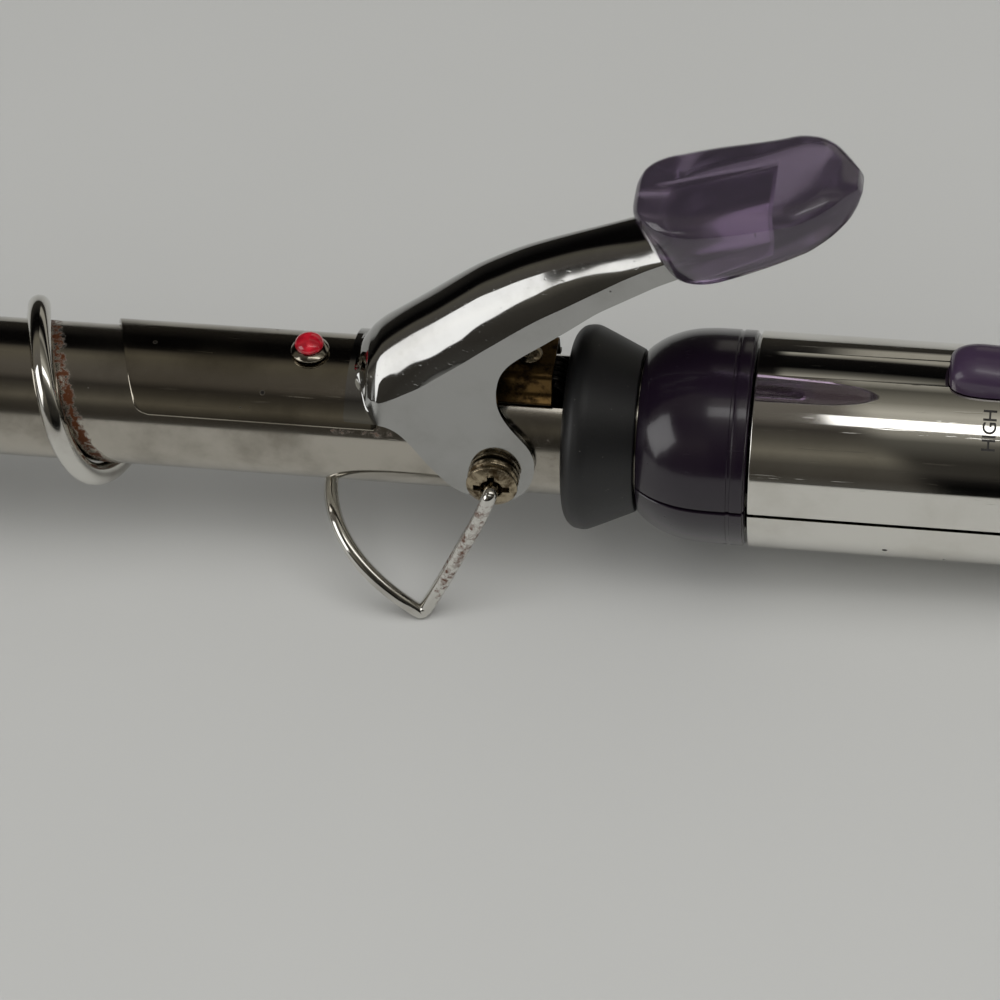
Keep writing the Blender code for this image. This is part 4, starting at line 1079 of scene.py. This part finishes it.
def makeStudio():
    wide, below = studio["floorHalf"], -studio["floorDrop"]
    corners = ((-wide, -wide), (wide, -wide), (wide, wide), (-wide, wide))
    floor = cleanMesh("tableTop", [(x, y, below) for x, y in corners], [[0, 1, 2, 3]])
    material = bpy.data.materials.new("paleLaminate")
    material.use_nodes = True
    tree = material.node_tree
    shader = tree.nodes["Principled BSDF"]
    coords = addNode(tree, "ShaderNodeTexCoord").outputs["Object"]
    mottle = addNode(tree, "ShaderNodeTexNoise", {"Vector": coords, "Scale": 14.0, "Detail": 3.0})
    tints = {0: mottle, 6: linearColour(studio["floor"]), 7: linearColour(studio["floorMottle"])}
    colour = addNode(tree, "ShaderNodeMix", tints, data_type="RGBA").outputs[2]
    feed(tree, shader, {"Base Color": colour, "Roughness": 0.6})
    floor.data.materials.append(material)
    for name, look in panels.items():
        data = bpy.data.lights.new(name + "Panel", "AREA")
        data.shape = "RECTANGLE"
        data.size, data.size_y = look["size"]
        data.energy = look["glow"] * math.pi * data.size * data.size_y
        lamp = newThing(name + "Panel", data)
        lamp.visible_glossy = look["mirrored"]
        lamp.visible_camera = False
        way = Vector(look["way"]).normalized()
        spot = way * look["far"] + Vector((look["moved"], 0, 0))
        heading = (-way).to_track_quat("-Z", "Y").to_matrix().to_4x4()
        rolled = Matrix.Rotation(math.radians(look["rolledDeg"]), 4, "Z")
        lamp.matrix_world = Matrix.Translation(spot) @ heading @ rolled
    world = bpy.data.worlds.new("studioRoom")
    bpy.context.scene.world = world
    world.use_nodes = True
    tree = world.node_tree
    tree.nodes.clear()
    way = addNode(tree, "ShaderNodeTexCoord").outputs["Generated"]
    parts = addNode(tree, "ShaderNodeSeparateXYZ", {"Vector": way}).outputs
    turn = addNode(tree, "ShaderNodeMath", {0: parts["Z"], 1: parts["Y"]}, operation="ARCTAN2")
    share = addNode(tree, "ShaderNodeMath", {0: turn, 1: math.pi}, operation="DIVIDE")
    rooms = []
    for stops in (roomLeft, roomRight):
        tones = addNode(tree, "ShaderNodeValToRGB", {"Fac": share})
        elements = tones.color_ramp.elements
        while len(elements) < len(stops):
            elements.new(0.5)
        for element, (degrees, code) in zip(elements, stops):
            element.position, element.color = degrees / 180, linearColour(code)
        rooms.append(tones.outputs["Color"])
    spread = {"Value": parts["X"], "From Min": studio["leftTo"], "From Max": studio["rightFrom"]}
    side = addNode(tree, "ShaderNodeMapRange", spread, interpolation_type="SMOOTHSTEP")
    room = addNode(tree, "ShaderNodeMix", {0: side, 6: rooms[0], 7: rooms[1]}, data_type="RGBA").outputs[2]
    rays = addNode(tree, "ShaderNodeLightPath").outputs
    soft = (studio["ambient"], studio["ambient"], studio["ambient"] * 0.985, 1)
    seen = {0: rays["Is Camera Ray"], 6: soft, 7: linearColour(studio["horizon"])}
    plain = addNode(tree, "ShaderNodeMix", seen, data_type="RGBA").outputs[2]
    mirrored = {0: rays["Is Glossy Ray"], 6: plain, 7: room}
    shade = addNode(tree, "ShaderNodeMix", mirrored, data_type="RGBA").outputs[2]
    glow = addNode(tree, "ShaderNodeBackground", {"Color": shade, "Strength": 1.0})
    addNode(tree, "ShaderNodeOutputWorld", {"Surface": glow})


# The camera stands in front and above, level with neither axis; its place and heading are on the iron's axes
cameraSet = {
    "lens": 126.0,
    "sensor": 36.0,
    "place": (60.26, -335.35, 333.03),
    "right": (0.98934, 0.14001, -0.03994),
    "down": (0.07263, -0.71235, -0.69805),
    "ahead": (-0.12618, 0.68771, -0.71493),
}


def makeCamera():
    data = bpy.data.cameras.new("studioCamera")
    data.lens, data.sensor_width = cameraSet["lens"], cameraSet["sensor"]
    data.clip_start, data.clip_end = 0.01, 20.0
    camera = newThing("studioCamera", data)
    right, down, ahead = (Vector(cameraSet[key]) for key in ("right", "down", "ahead"))
    heading = ironTurn @ Matrix((right, -down, -ahead)).transposed()
    camera.matrix_world = Matrix.Translation(ironPlace @ (Vector(cameraSet["place"]) * mm)) @ heading.to_4x4()
    bpy.context.scene.camera = camera


makeStudio()
makeCamera()
bpy.context.scene.view_settings.view_transform = "Standard"
print("studio made")
